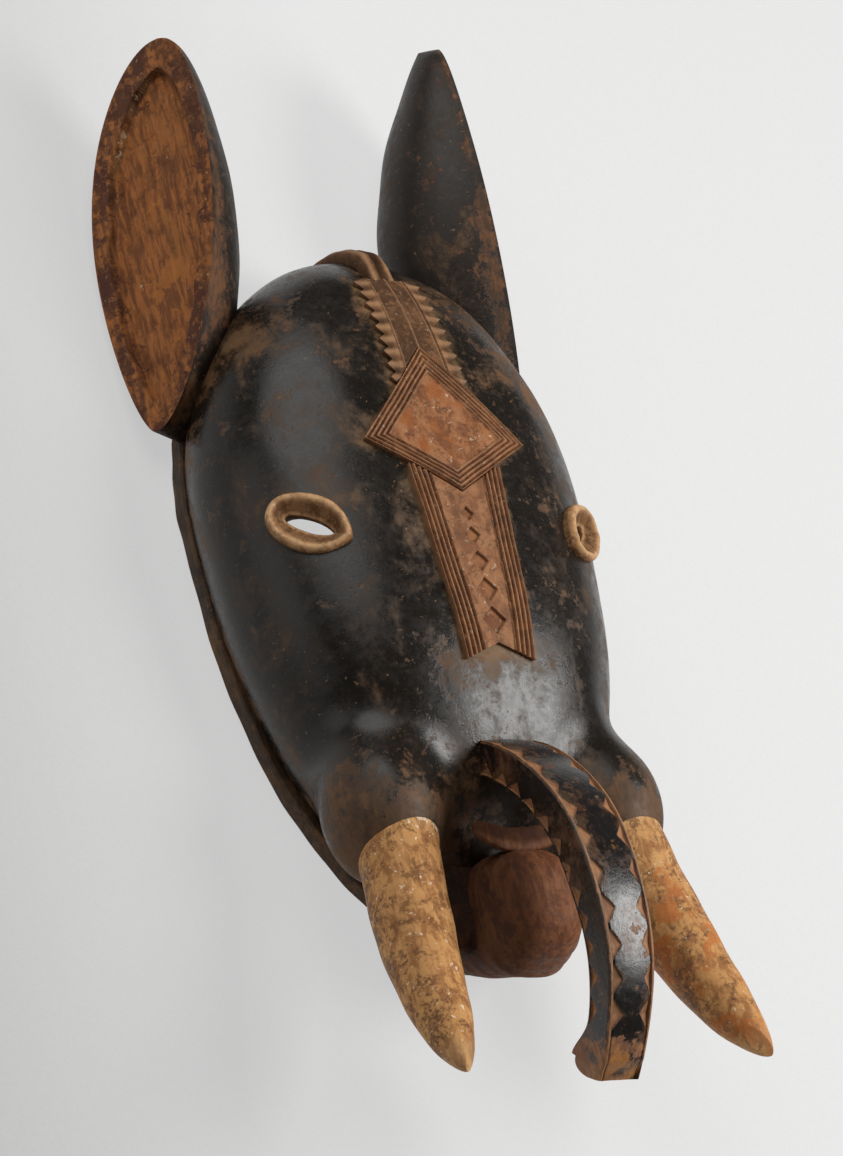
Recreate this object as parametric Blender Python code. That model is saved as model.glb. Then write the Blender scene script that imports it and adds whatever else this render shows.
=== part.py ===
"""A carved wooden elephant mask, one hollow piece, lying face up on its back rim.

The mask is laid out from the point between the eyes: +X to the viewer's right, +Y to the
ears, +Z out of the face. The rim's flat back lies at z = 0. At the end everything is moved
along Y, so that the origin lies under the middle of the whole mask.
"""

import math

import bmesh
import bpy
from mathutils import Matrix, Vector

MM = 0.001

# The rim: a flat hand-cut edge all round the back
RIM_HALF_WIDTH = 100.5 * MM
RIM_THICKNESS = 9.4 * MM
RIM_TOP_Y = 206 * MM
RIM_MUZZLE_Y = -146 * MM

# The skull: a dome that is widest above the ears' roots and highest between the eyes
HEAD_HALF_WIDTH = 106 * MM
HEAD_HEIGHT = 91 * MM
HEAD_TOP_Y = 207 * MM
HEAD_MUZZLE_Y = -147 * MM
WIDEST_Y = 68 * MM
HIGHEST_Y = 0.0
SECTION_POWER = 2.8
TUCK_HEIGHT = 45 * MM
TUCK = 0.12
HEAD_SEGMENTS = 52
HEAD_RINGS = 14

# The hollow for the wearer's face
WALL = 12.5 * MM
CROWN_WALL = 13 * MM
HOLLOW_MUZZLE_Y = -112 * MM
HOLLOW_SEGMENTS = 32
HOLLOW_RINGS = 7

# The eyes: raised almond rims round open slits
EYE_X = 77 * MM
EYE_Y = 39 * MM
EYE_LENGTH = 43 * MM
EYE_WIDTH = 29 * MM
EYE_RISE = 4 * MM
EYE_RIM = 6.5 * MM
EYE_TILT = math.radians(28)
SLIT_LENGTH = 27 * MM
SLIT_WIDTH = 11 * MM

# The muzzle: hollowed under the trunk, with a lip below
MOUTH_HALF_WIDTH = 43 * MM
MOUTH_HALF_LENGTH = 44 * MM
MOUTH_HALF_HEIGHT = 50 * MM
MOUTH_Y = -121 * MM
MOUTH_Z = 101 * MM
JAW_HALF_WIDTH = 44 * MM
JAW_BOTTOM_Y = -174 * MM
JAW_SETBACK = 4 * MM
JAW_EDGE_HEIGHT = 42 * MM
JAW_RAKE = 0.5
JAW_BACK_Y = -100 * MM
JAW_HEIGHT = 47 * MM
LIP_CENTRE_X = 4 * MM
LIP_HALF_WIDTH = 21 * MM
LIP_HEIGHT = 76 * MM
LIP_TOP_Y = -126 * MM
JAW_ROUNDING = 12 * MM

# The tusks and the swellings that carry them
SOCKET_OUT = 3 * MM
SOCKET_AHEAD = 6 * MM
SOCKET_DROP = 7 * MM
SOCKET_HALF_WIDTH = 28 * MM
SOCKET_HALF_LENGTH = 36 * MM
SOCKET_HALF_HEIGHT = 29 * MM
TUSK_X = 59 * MM
TUSK_Y = -92 * MM
TUSK_Z = 61 * MM
TUSK_SPREAD = 23.5 * MM
TUSK_REACH = 149 * MM
TUSK_LIFT = 40 * MM
TUSK_RADIUS = 19 * MM
TUSK_START = 0.02
TUSK_FULL = 0.16
TUSK_SIDES = 14
TUSK_ROOT_STATIONS = 3
TUSK_STATIONS = 9

# The trunk: a square strap that leaves the muzzle's edge and arches over the mouth
TRUNK_ROOT_Y = -65.5 * MM
TRUNK_ROOT_Z = 61 * MM
TRUNK_ARCH_RADIUS = 107 * MM
TRUNK_ROOT_ANGLE = 20.0
TRUNK_TIP_ANGLE = 139.0
TRUNK_ROOT_WIDTH = 31 * MM
TRUNK_TIP_WIDTH = 21 * MM
TRUNK_DEPTH = 17 * MM
TRUNK_SPUR = 7 * MM
TRUNK_SPUR_FROM = 0.84
TRUNK_SPUR_AT = 0.95
TRUNK_END_DEPTH = 4 * MM
TRUNK_END_SLANT = 0.05
TRUNK_EDGE = 1.5 * MM
TRUNK_STATIONS = 19
TRUNK_END_STATIONS = 4
CHIPS_PER_EDGE = 11
CHIP_WIDTH = 5.5 * MM
CHIP_DEPTH = 1.6 * MM
FRONT_CHIPS_FROM = 0.12
FRONT_CHIPS_TO = 0.865
SIDE_CHIPS = 11
SIDE_CHIPS_FROM = 0.12
SIDE_CHIPS_TO = 0.83

# The ears: long scoops with a flat outer face, hollowed inside a border
LEFT_EAR_BOTTOM_X = -110.5 * MM
LEFT_EAR_BOTTOM_Y = 118 * MM
LEFT_EAR_TIP_X = -87 * MM
LEFT_EAR_TIP_Y = 315 * MM
LEFT_EAR_THICKNESS = 49 * MM
RIGHT_EAR_BOTTOM_X = 103 * MM
RIGHT_EAR_BOTTOM_Y = 122 * MM
RIGHT_EAR_TIP_X = 80 * MM
RIGHT_EAR_TIP_Y = 327 * MM
RIGHT_EAR_THICKNESS = 53 * MM
EAR_BOTTOM_Z = 16.5 * MM
EAR_TIP_Z = 62.5 * MM
EAR_LEAN = math.radians(26)
EAR_FRONT_WIDTH = 33.5 * MM
EAR_BACK_WIDTH = 39.5 * MM
EAR_BORDER = 0.76
EAR_RECESS = 4.5 * MM
EAR_STATIONS = 15
EAR_BACK_FACETS = 9

# The crest: a double ridge that runs from the forehead band over the top of the head
CREST_WIDTH = 14 * MM
CREST_HEIGHT = 9 * MM
CREST_FRONT_Y = 172 * MM
CREST_GROOVE = 3 * MM
CREST_STATIONS = 12

# The forehead carving
DIAMOND_TOP_Y = 130 * MM
DIAMOND_BOTTOM_Y = 50 * MM
DIAMOND_HALF_WIDTH = 44.5 * MM
DIAMOND_SIDE_Y = 78 * MM
DIAMOND_RISE = 2.8 * MM
DIAMOND_BORDER = 8 * MM
DIAMOND_RIDGES = 3
BAND_TOP_Y = 64 * MM
BAND_END_Y = -36.5 * MM
BAND_NOTCH = 8 * MM
BAND_TOP_HALF_WIDTH = 25.5 * MM
BAND_END_HALF_WIDTH = 18.8 * MM
BAND_RISE = 2.4 * MM
RIB_STRIP = 10.2 * MM
RIBS = 4
LOZENGES = 5
LOZENGE_FIRST_Y = 38 * MM
LOZENGE_LAST_Y = -17.5 * MM
LOZENGE_FIRST_SIZE = 8 * MM
LOZENGE_LAST_SIZE = 14.5 * MM
LOZENGE_DEPTH = 1.4 * MM
PLAIT_TOP_Y = 175 * MM
PLAIT_BOTTOM_Y = 108 * MM
PLAIT_TOP_HALF_WIDTH = 14 * MM
PLAIT_BOTTOM_HALF_WIDTH = 17 * MM
PLAIT_RISE = 2.4 * MM
PLAIT_FACETS = 0.68
PLAIT_STEP = 1 * MM
TEETH = 9
TOOTH = 4.2 * MM

BAND_ROWS = 9
RIM_BEVEL = 1.5 * MM
CUT_CLEARANCE = 0.4 * MM
SINK = 4 * MM
GROOVE_DEPTH = 1.1 * MM
BELOW = 30 * MM


def clear_scene():
    for old in list(bpy.data.objects):
        bpy.data.objects.remove(old, do_unlink=True)


def side_name(side):
    return "right" if side > 0 else "left"


def material(name, colour, roughness):
    finish = bpy.data.materials.new(name)
    finish.use_nodes = True
    shader = finish.node_tree.nodes["Principled BSDF"]
    shader.inputs["Base Color"].default_value = (*colour, 1.0)
    shader.inputs["Roughness"].default_value = roughness
    shader.inputs["Metallic"].default_value = 0.0
    return finish


def add_object(name, bm, collection):
    """Close off a bmesh as an object of triangles whose faces point outwards."""
    bmesh.ops.recalc_face_normals(bm, faces=bm.faces)
    bmesh.ops.triangulate(bm, faces=bm.faces)
    mesh = bpy.data.meshes.new(name)
    bm.to_mesh(mesh)
    bm.free()
    made = bpy.data.objects.new(name, mesh)
    collection.objects.link(made)
    return made


def loft(name, rings, collection):
    """A closed body through rings of points; a ring of one point is a pole."""
    bm = bmesh.new()
    loops = [[bm.verts.new(point) for point in ring] for ring in rings]
    for lower, upper in zip(loops, loops[1:]):
        count = max(len(lower), len(upper))
        for i in range(count):
            j = (i + 1) % count
            if len(upper) == 1:
                bm.faces.new((lower[i], lower[j], upper[0]))
            elif len(lower) == 1:
                bm.faces.new((lower[0], upper[j], upper[i]))
            else:
                bm.faces.new((lower[i], lower[j], upper[j], upper[i]))
    for end in (loops[0], loops[-1]):
        if len(end) > 1:
            bm.faces.new(end)
    return add_object(name, bm, collection)


def grid_body(name, top, bottom, collection):
    """A closed slab between two equal grids of points, rows of equal length."""
    bm = bmesh.new()
    upper = [[bm.verts.new(point) for point in row] for row in top]
    lower = [[bm.verts.new(point) for point in row] for row in bottom]
    rows, columns = len(top), len(top[0])
    for i in range(rows - 1):
        for j in range(columns - 1):
            bm.faces.new((upper[i][j], upper[i][j + 1], upper[i + 1][j + 1], upper[i + 1][j]))
            bm.faces.new((lower[i][j], lower[i + 1][j], lower[i + 1][j + 1], lower[i][j + 1]))
    for i in range(rows - 1):
        for j in (0, columns - 1):
            bm.faces.new((upper[i][j], upper[i + 1][j], lower[i + 1][j], lower[i][j]))
    for j in range(columns - 1):
        for i in (0, rows - 1):
            bm.faces.new((upper[i][j], upper[i][j + 1], lower[i][j + 1], lower[i][j]))
    return add_object(name, bm, collection)


class Dome:
    """A head-shaped dome over an egg-shaped outline, by its half-width, height and ends."""

    def __init__(self, half_width, height, top_y, muzzle_y):
        self.half_width = half_width
        self.height = height
        self.top_y = top_y
        self.muzzle_y = muzzle_y

    def width_at(self, y):
        if y > WIDEST_Y:
            u = (y - WIDEST_Y) / (self.top_y - WIDEST_Y)
            return self.half_width * math.sqrt(max(0.0, 1 - u * u))
        u = (WIDEST_Y - y) / (WIDEST_Y - self.muzzle_y)
        return self.half_width * math.sqrt(max(0.0, 1 - u ** 2.16))

    def crown_at(self, y):
        if y > HIGHEST_Y:
            u = (y - HIGHEST_Y) / (self.top_y - HIGHEST_Y)
            return self.height * max(0.0, 1 - u ** 4) ** 0.294
        u = (HIGHEST_Y - y) / (HIGHEST_Y - self.muzzle_y)
        return self.height * max(0.0, 1 - u ** 2) ** 0.56

    def z_at(self, x, y):
        width = self.width_at(y)
        if width <= 0:
            return 0.0
        across = min(1.0, abs(x) / width)
        return self.crown_at(y) * (1 - across ** SECTION_POWER) ** (1 / SECTION_POWER)

    def outline(self, angle):
        across, along = math.cos(angle), math.sin(angle)
        if along >= 0:
            return self.half_width * across, WIDEST_Y + (self.top_y - WIDEST_Y) * along
        reach = (WIDEST_Y - self.muzzle_y) * (-along) ** (2 / 2.16)
        return self.half_width * across, WIDEST_Y - reach

    def rings(self, segments, count, tuck):
        """Rings of the outline, drawn in towards the crown, with the foot tucked in."""
        rings = []
        for k in range(count):
            lift = math.pi / 2 * k / count
            scale = math.cos(lift) ** (2 / SECTION_POWER)
            ring = []
            for i in range(segments):
                x, y = self.outline(2 * math.pi * i / segments)
                x, y = x * scale, WIDEST_Y + (y - WIDEST_Y) * scale
                z = self.z_at(x, y) if k else 0.0
                low = max(0.0, 1 - z / TUCK_HEIGHT)
                draw = 1 - tuck * low * low
                ring.append(Vector((x * draw, WIDEST_Y + (y - WIDEST_Y) * draw, z)))
            rings.append(ring)
        rings.append([Vector((0, WIDEST_Y, self.z_at(0, WIDEST_Y)))])
        return rings


HEAD = Dome(HEAD_HALF_WIDTH, HEAD_HEIGHT, HEAD_TOP_Y, HEAD_MUZZLE_Y)


def head_normal(x, y):
    step = 0.5 * MM
    slope_x = (HEAD.z_at(x + step, y) - HEAD.z_at(x - step, y)) / (2 * step)
    slope_y = (HEAD.z_at(x, y + step) - HEAD.z_at(x, y - step)) / (2 * step)
    return Vector((-slope_x, -slope_y, 1)).normalized()


def on_head(x, y, rise):
    """The point that lies a given rise outside the skull's surface."""
    return Vector((x, y, HEAD.z_at(x, y))) + head_normal(x, y) * rise


def make_head(collection):
    rings = HEAD.rings(HEAD_SEGMENTS, HEAD_RINGS, TUCK)
    foot = [point - Vector((0, 0, BELOW)) for point in rings[0]]
    return loft("elephant_mask", [foot] + rings, collection)


def make_rim(collection):
    plate = Dome(RIM_HALF_WIDTH, RIM_THICKNESS, RIM_TOP_Y, RIM_MUZZLE_Y)
    edge = []
    for i in range(HEAD_SEGMENTS):
        angle = 2 * math.pi * (i + 0.5) / HEAD_SEGMENTS
        edge.append(Vector((*plate.outline(angle), 0)))
    centre = Vector((0, WIDEST_Y, 0))
    drawn_in = [centre + (point - centre) * (1 - RIM_BEVEL / RIM_HALF_WIDTH) for point in edge]
    heights = ((edge, -BELOW / 2), (edge, RIM_THICKNESS - RIM_BEVEL), (drawn_in, RIM_THICKNESS))
    rings = [[point + Vector((0, 0, z)) for point in ring] for ring, z in heights]
    return loft("rim", rings, collection)


def make_hollow(collection):
    inside = Dome(
        HEAD_HALF_WIDTH - WALL,
        HEAD_HEIGHT - CROWN_WALL,
        HEAD_TOP_Y - WALL,
        HOLLOW_MUZZLE_Y,
    )
    rings = inside.rings(HOLLOW_SEGMENTS, HOLLOW_RINGS, TUCK / 2)
    foot = [point - Vector((0, 0, 2 * BELOW)) for point in rings[0]]
    return loft("face_hollow", [foot] + rings, collection)


def eye_frame(side):
    """The eye's place on the skull: its long axis, its short axis and the outward normal."""
    out = head_normal(side * EYE_X, EYE_Y)
    along = Vector((side * math.cos(EYE_TILT), math.sin(EYE_TILT), 0))
    along = (along - out * along.dot(out)).normalized()
    short = out.cross(along)
    frame = Matrix((along, short, out)).transposed().to_4x4()
    frame.translation = on_head(side * EYE_X, EYE_Y, 0)
    return frame


def almond(length, width, count):
    """An almond outline: two arcs that meet in corners at its ends."""
    points = []
    for i in range(count):
        angle = 2 * math.pi * i / count
        bow = math.copysign(abs(math.sin(angle)) ** 1.25, math.sin(angle))
        points.append((length / 2 * math.cos(angle), width / 2 * bow))
    return points


def make_eye_rim(side, collection):
    frame = eye_frame(side)
    steps = (
        (0, -2.5 * SINK),
        (0, 0.3 * EYE_RISE),
        (0.3 * EYE_RIM, EYE_RISE),
        (0.7 * EYE_RIM, 0.9 * EYE_RISE),
        (EYE_RIM, 0),
    )
    rings = []
    for inset, rise in steps:
        outline = almond(EYE_LENGTH - 2 * inset, EYE_WIDTH - 2 * inset, 16)
        rings.append([frame @ Vector((x, y, rise)) for x, y in outline])
    rings.append([frame @ Vector((0, 0, -0.3 * EYE_RISE))])
    return loft(f"eye_rim_{side_name(side)}", rings, collection)


def make_eye_slit(side, collection):
    frame = eye_frame(side)
    rings = []
    for z in (-3 * WALL, 2 * EYE_RISE):
        rings.append([frame @ Vector((x, y, z)) for x, y in almond(SLIT_LENGTH, SLIT_WIDTH, 12)])
    return loft(f"eye_slit_{side_name(side)}", rings, collection)


def ball(name, centre, half_size, collection):
    bm = bmesh.new()
    bmesh.ops.create_uvsphere(bm, u_segments=20, v_segments=10, radius=1.0)
    place = Matrix.Translation(centre) @ Matrix.Diagonal((*half_size, 1.0))
    bmesh.ops.transform(bm, matrix=place, verts=bm.verts)
    return add_object(name, bm, collection)


def make_mouth(collection):
    centre = Vector((0, MOUTH_Y, MOUTH_Z))
    half_size = Vector((MOUTH_HALF_WIDTH, MOUTH_HALF_LENGTH, MOUTH_HALF_HEIGHT))
    return ball("mouth_hollow", centre, half_size, collection)


def rounded_block(name, low, high, rounding, collection):
    bm = bmesh.new()
    bmesh.ops.create_cube(bm, size=1.0)
    place = Matrix.Translation((low + high) / 2) @ Matrix.Diagonal((*(high - low), 1.0))
    bmesh.ops.transform(bm, matrix=place, verts=bm.verts)
    bmesh.ops.bevel(
        bm, geom=bm.edges[:], offset=rounding, segments=3, affect="EDGES", profile=0.5
    )
    middle = (low.y + high.y) / 2
    for vert in bm.verts:
        below_edge = max(0.0, JAW_EDGE_HEIGHT - vert.co.z)
        if vert.co.y < middle:
            vert.co.y += below_edge * JAW_RAKE
    return add_object(name, bm, collection)


def make_jaw(collection):
    jaw = rounded_block(
        "jaw",
        Vector((-JAW_HALF_WIDTH, JAW_BOTTOM_Y + JAW_SETBACK, -BELOW)),
        Vector((JAW_HALF_WIDTH, JAW_BACK_Y, JAW_HEIGHT)),
        JAW_ROUNDING,
        collection,
    )
    lip = rounded_block(
        "lip",
        Vector((LIP_CENTRE_X - LIP_HALF_WIDTH, JAW_BOTTOM_Y, -BELOW)),
        Vector((LIP_CENTRE_X + LIP_HALF_WIDTH, LIP_TOP_Y, LIP_HEIGHT)),
        JAW_ROUNDING,
        collection,
    )
    return jaw, lip


def tusk_point(share, side):
    return Vector((
        side * (TUSK_X + TUSK_SPREAD * share),
        TUSK_Y - TUSK_REACH * share,
        TUSK_Z + TUSK_LIFT * share ** 2.2,
    ))


def tusk_radius(share):
    """Rounded at the root, inside the swelling, and drawn out to a blunt tip."""
    root = max(0.0, (TUSK_FULL - share) / (TUSK_FULL - TUSK_START))
    return TUSK_RADIUS * (1 - share ** 3.2) ** 0.62 * (1 - root ** 2) ** 0.5


def tusk_shares():
    root = TUSK_FULL - TUSK_START
    shares = []
    for k in range(1, TUSK_ROOT_STATIONS + 1):
        shares.append(TUSK_FULL - root * math.cos(math.pi / 2 * k / (TUSK_ROOT_STATIONS + 1)))
    for k in range(TUSK_STATIONS):
        shares.append(TUSK_FULL + (1 - TUSK_FULL) * math.sin(math.pi / 2 * k / TUSK_STATIONS))
    return shares


def make_tusk(side, collection):
    rings = [[tusk_point(TUSK_START, side)]]
    for share in tusk_shares():
        centre = tusk_point(share, side)
        along = (tusk_point(share + 0.01, side) - centre).normalized()
        across = along.cross(Vector((0, 0, 1))).normalized()
        lift = across.cross(along)
        ring = []
        for i in range(TUSK_SIDES):
            angle = 2 * math.pi * i / TUSK_SIDES
            spoke = across * math.cos(angle) + lift * math.sin(angle)
            ring.append(centre + spoke * tusk_radius(share))
        rings.append(ring)
    rings.append([tusk_point(1.0, side)])
    return loft(f"tusk_{side_name(side)}", rings, collection)


def make_socket(side, collection):
    centre = Vector((side * (TUSK_X + SOCKET_OUT), TUSK_Y - SOCKET_AHEAD, TUSK_Z - SOCKET_DROP))
    half_size = Vector((SOCKET_HALF_WIDTH, SOCKET_HALF_LENGTH, SOCKET_HALF_HEIGHT))
    return ball(f"tusk_socket_{side_name(side)}", centre, half_size, collection)


def trunk_point(share, inward, x):
    """A point of the trunk: a share of the way along, inward from the front face."""
    start = math.radians(TRUNK_ROOT_ANGLE)
    turn = start + math.radians(TRUNK_TIP_ANGLE - TRUNK_ROOT_ANGLE) * share
    reach = TRUNK_ARCH_RADIUS - inward
    middle_y = TRUNK_ROOT_Y - TRUNK_ARCH_RADIUS * math.cos(start)
    middle_z = TRUNK_ROOT_Z - TRUNK_ARCH_RADIUS * math.sin(start)
    return Vector((x, middle_y + reach * math.cos(turn), middle_z + reach * math.sin(turn)))


def trunk_half_width(share):
    return (TRUNK_ROOT_WIDTH + (TRUNK_TIP_WIDTH - TRUNK_ROOT_WIDTH) * share ** 1.5) / 2


def trunk_depth(share):
    """From front to back: even, then out to a spur, then rounded off to the tip's front edge."""
    if share <= TRUNK_SPUR_AT:
        rise = max(0.0, (share - TRUNK_SPUR_FROM) / (TRUNK_SPUR_AT - TRUNK_SPUR_FROM))
        return TRUNK_DEPTH + TRUNK_SPUR * rise ** 2
    end = (share - TRUNK_SPUR_AT) / (1 - TRUNK_SPUR_AT)
    full = TRUNK_DEPTH + TRUNK_SPUR - TRUNK_END_DEPTH
    return TRUNK_END_DEPTH + full * (1 - end ** 2) ** 0.5


def make_trunk(collection):
    shares = [TRUNK_SPUR_AT * k / (TRUNK_STATIONS - 1) for k in range(TRUNK_STATIONS)]
    for k in range(1, TRUNK_END_STATIONS + 1):
        turn = math.pi / 2 * k / TRUNK_END_STATIONS
        shares.append(TRUNK_SPUR_AT + (1 - TRUNK_SPUR_AT) * math.sin(turn))
    rings = []
    edge = TRUNK_EDGE
    for share in shares:
        half, depth = trunk_half_width(share), trunk_depth(share)
        slant = TRUNK_END_SLANT * max(0.0, (share - TRUNK_SPUR_FROM) / (1 - TRUNK_SPUR_FROM))
        corners = (
            (-half + edge, 0),
            (half - edge, 0),
            (half, edge),
            (half, depth - edge),
            (half - edge, depth),
            (-half + edge, depth),
            (-half, depth - edge),
            (-half, edge),
        )
        ring = []
        for x, inward in corners:
            lag = slant * inward / TRUNK_DEPTH
            ring.append(trunk_point(share + lag, inward, x))
        rings.append(ring)
    return loft("trunk", rings, collection)


def wedge(bm, base, tip, inward):
    """A chip cut: a three-sided wedge with its base on an edge and its tip on the face."""
    points = [base[0], base[1], tip, base[0] + inward, base[1] + inward]
    verts = [bm.verts.new(point) for point in points]
    bmesh.ops.convex_hull(bm, input=verts)


def make_trunk_chips(collection):
    """Rows of triangular chips along the front face's two edges and each side's far edge."""
    bm = bmesh.new()
    span = CHIP_WIDTH / 2 / (TRUNK_ARCH_RADIUS * math.radians(TRUNK_TIP_ANGLE - TRUNK_ROOT_ANGLE))
    clear = CUT_CLEARANCE
    for side in (-1, 1):
        for i in range(CHIPS_PER_EDGE):
            share = FRONT_CHIPS_FROM + (FRONT_CHIPS_TO - FRONT_CHIPS_FROM) * i / (CHIPS_PER_EDGE - 1)
            x = side * (trunk_half_width(share) + clear)
            tip_x = side * (trunk_half_width(share) - CHIP_WIDTH)
            base = [trunk_point(share + step * span, -clear, x) for step in (-1, 1)]
            tip = trunk_point(share, -clear, tip_x)
            inward = trunk_point(share, CHIP_DEPTH, 0) - trunk_point(share, -clear, 0)
            wedge(bm, base, tip, inward)
        for i in range(SIDE_CHIPS):
            share = SIDE_CHIPS_FROM + (SIDE_CHIPS_TO - SIDE_CHIPS_FROM) * i / (SIDE_CHIPS - 1)
            depth = TRUNK_DEPTH
            x = side * (trunk_half_width(share) + clear)
            base = [trunk_point(share + step * span, depth + clear, x) for step in (-1, 1)]
            tip = trunk_point(share, depth - CHIP_WIDTH, x)
            wedge(bm, base, tip, Vector((-side * (CHIP_DEPTH + clear), 0, 0)))
    return add_object("trunk_chips", bm, collection)


def ear_front(share):
    return EAR_FRONT_WIDTH * math.sin(math.pi * share) ** 0.55


def ear_back(share):
    return EAR_BACK_WIDTH * math.sin(math.pi * share ** 1.357) ** 0.5


def ear_depth(share):
    """The ear's thickness, as a share of its thickest: full at the root, thin at the tip."""
    return 1 - (max(0.0, share - 0.4) / 0.66) ** 2


def ear_recess(share):
    """How far across the ear its hollow reaches, as a share of the half-width."""
    return EAR_BORDER * max(0.0, 1 - ((share - 0.5) / 0.42) ** 4) ** 0.5


def make_ear(side, collection):
    if side < 0:
        bottom = Vector((LEFT_EAR_BOTTOM_X, LEFT_EAR_BOTTOM_Y, EAR_BOTTOM_Z))
        tip = Vector((LEFT_EAR_TIP_X, LEFT_EAR_TIP_Y, EAR_TIP_Z))
        thickness = LEFT_EAR_THICKNESS
    else:
        bottom = Vector((RIGHT_EAR_BOTTOM_X, RIGHT_EAR_BOTTOM_Y, EAR_BOTTOM_Z))
        tip = Vector((RIGHT_EAR_TIP_X, RIGHT_EAR_TIP_Y, EAR_TIP_Z))
        thickness = RIGHT_EAR_THICKNESS
    along = tip - bottom
    out = Vector((side * math.cos(EAR_LEAN), 0, math.sin(EAR_LEAN)))
    out = (out - along * out.dot(along) / along.length_squared).normalized()
    front = Vector((0, 0, 1)) - out * out.z
    front = (front - along * front.dot(along) / along.length_squared).normalized()
    rings = []
    for k in range(1, EAR_STATIONS):
        share = (1 - math.cos(math.pi * k / EAR_STATIONS)) / 2
        wide = (ear_front(share), ear_back(share))
        reach = max(0.02, ear_recess(share))
        floor = EAR_RECESS * min(1.0, reach / 0.3)
        face = ((1, 0), (reach, 0), (0.9 * reach, floor), (0, floor))
        points = [(across * wide[0], deep) for across, deep in face]
        points += [(-across * wide[1], deep) for across, deep in reversed(face[:-1])]
        middle, half = (wide[0] - wide[1]) / 2, (wide[0] + wide[1]) / 2
        for i in range(1, EAR_BACK_FACETS):
            turn = math.pi * i / EAR_BACK_FACETS
            bow = math.sin(turn) ** 0.8
            points.append((middle - half * math.cos(turn), thickness * ear_depth(share) * bow))
        centre = bottom + along * share
        rings.append([centre + front * a - out * d for a, d in points])
    rings.insert(0, [bottom - out * thickness * ear_depth(0) / 2])
    rings.append([tip - out * thickness * ear_depth(1) / 2])
    return loft(f"ear_{side_name(side)}", rings, collection)


def make_crest(collection):
    """The double ridge follows the crown line down over the top to the rim."""
    rings = []
    half = CREST_WIDTH / 2
    for k in range(CREST_STATIONS + 1):
        sweep = k / CREST_STATIONS
        y = CREST_FRONT_Y + (HEAD_TOP_Y - CREST_FRONT_Y) * math.sin(math.pi / 2 * sweep) * 0.998
        rise = CREST_HEIGHT * min(1.0, 0.1 + 3 * sweep) * (1 - 0.4 * sweep)
        out = head_normal(0, y)
        foot = Vector((0, y, HEAD.z_at(0, y)))
        profile = (
            (-half, -SINK),
            (half, -SINK),
            (half, 0.85 * rise),
            (0.75 * half, rise),
            (0.3 * half, rise),
            (0, rise - min(CREST_GROOVE, 0.4 * rise)),
            (-0.3 * half, rise),
            (-0.75 * half, rise),
            (-half, 0.85 * rise),
        )
        rings.append([foot + Vector((x, 0, 0)) + out * lift for x, lift in profile])
    return loft("crest", rings, collection)


def kite(corners, steps):
    """The points of a closed outline through its corners, each side cut into steps."""
    points = []
    for a, b in zip(corners, corners[1:] + corners[:1]):
        points += [a.lerp(b, i / steps) for i in range(steps)]
    return points


def make_diamond(collection):
    """A kite-shaped panel inside a border of ridges, bent over the forehead."""
    side_x, side_y = DIAMOND_HALF_WIDTH, DIAMOND_SIDE_Y
    corners = [
        Vector((0, DIAMOND_TOP_Y)),
        Vector((-side_x, side_y)),
        Vector((0, DIAMOND_BOTTOM_Y)),
        Vector((side_x, side_y)),
    ]
    upper = (corners[0] - corners[1]).length
    lower = (corners[1] - corners[2]).length
    radius = side_x * (DIAMOND_TOP_Y - DIAMOND_BOTTOM_Y) / (upper + lower)
    centre = Vector((0, DIAMOND_TOP_Y - radius * upper / side_x))
    outline = kite(corners, 4)
    pitch = DIAMOND_BORDER / DIAMOND_RIDGES
    steps = [(0, -SINK), (0, DIAMOND_RISE)]
    for i in range(DIAMOND_RIDGES):
        steps.append(((i + 0.5) * pitch, DIAMOND_RISE))
        steps.append(((i + 0.75) * pitch, DIAMOND_RISE - GROOVE_DEPTH))
        steps.append(((i + 1) * pitch, DIAMOND_RISE))
    steps[-1] = (DIAMOND_BORDER, DIAMOND_RISE - GROOVE_DEPTH / 2)
    steps.append((0.6 * radius, DIAMOND_RISE - GROOVE_DEPTH / 2))
    rings = []
    for inset, rise in steps:
        flat = [centre + (point - centre) * (1 - inset / radius) for point in outline]
        rings.append([on_head(point.x, point.y, rise) for point in flat])
    rings.append([on_head(centre.x, centre.y, DIAMOND_RISE - GROOVE_DEPTH / 2)])
    return loft("diamond", rings, collection)


def band_columns():
    """Across the lower band: distance in from its edge, and rise, up to the middle strip."""
    pitch = RIB_STRIP / RIBS
    columns = []
    for i in range(RIBS):
        columns.append((i * pitch, BAND_RISE if i == 0 else BAND_RISE - GROOVE_DEPTH))
        columns.append(((i + 0.3) * pitch, BAND_RISE))
        columns.append(((i + 0.7) * pitch, BAND_RISE))
    columns.append((RIB_STRIP, BAND_RISE - GROOVE_DEPTH))
    return columns


def make_band(collection):
    """The lower band: ribbed strips on both sides of a plain one, forked at its end."""
    top, bottom = [], []
    for i in range(BAND_ROWS):
        share = i / (BAND_ROWS - 1)
        half = BAND_TOP_HALF_WIDTH + (BAND_END_HALF_WIDTH - BAND_TOP_HALF_WIDTH) * share
        left = [(-half + inset, rise) for inset, rise in band_columns()]
        middle = [(0, BAND_RISE - GROOVE_DEPTH)]
        right = [(-x, rise) for x, rise in reversed(left)]
        row_top, row_bottom = [], []
        for x, rise in left + middle + right:
            end = BAND_END_Y + BAND_NOTCH * (1 - abs(x) / half)
            y = BAND_TOP_Y + (end - BAND_TOP_Y) * share
            row_top.append(on_head(x, y, rise))
            row_bottom.append(on_head(x, y, -SINK))
        top.append(row_top)
        bottom.append(row_bottom)
    return grid_body("lower_band", top, bottom, collection)


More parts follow.
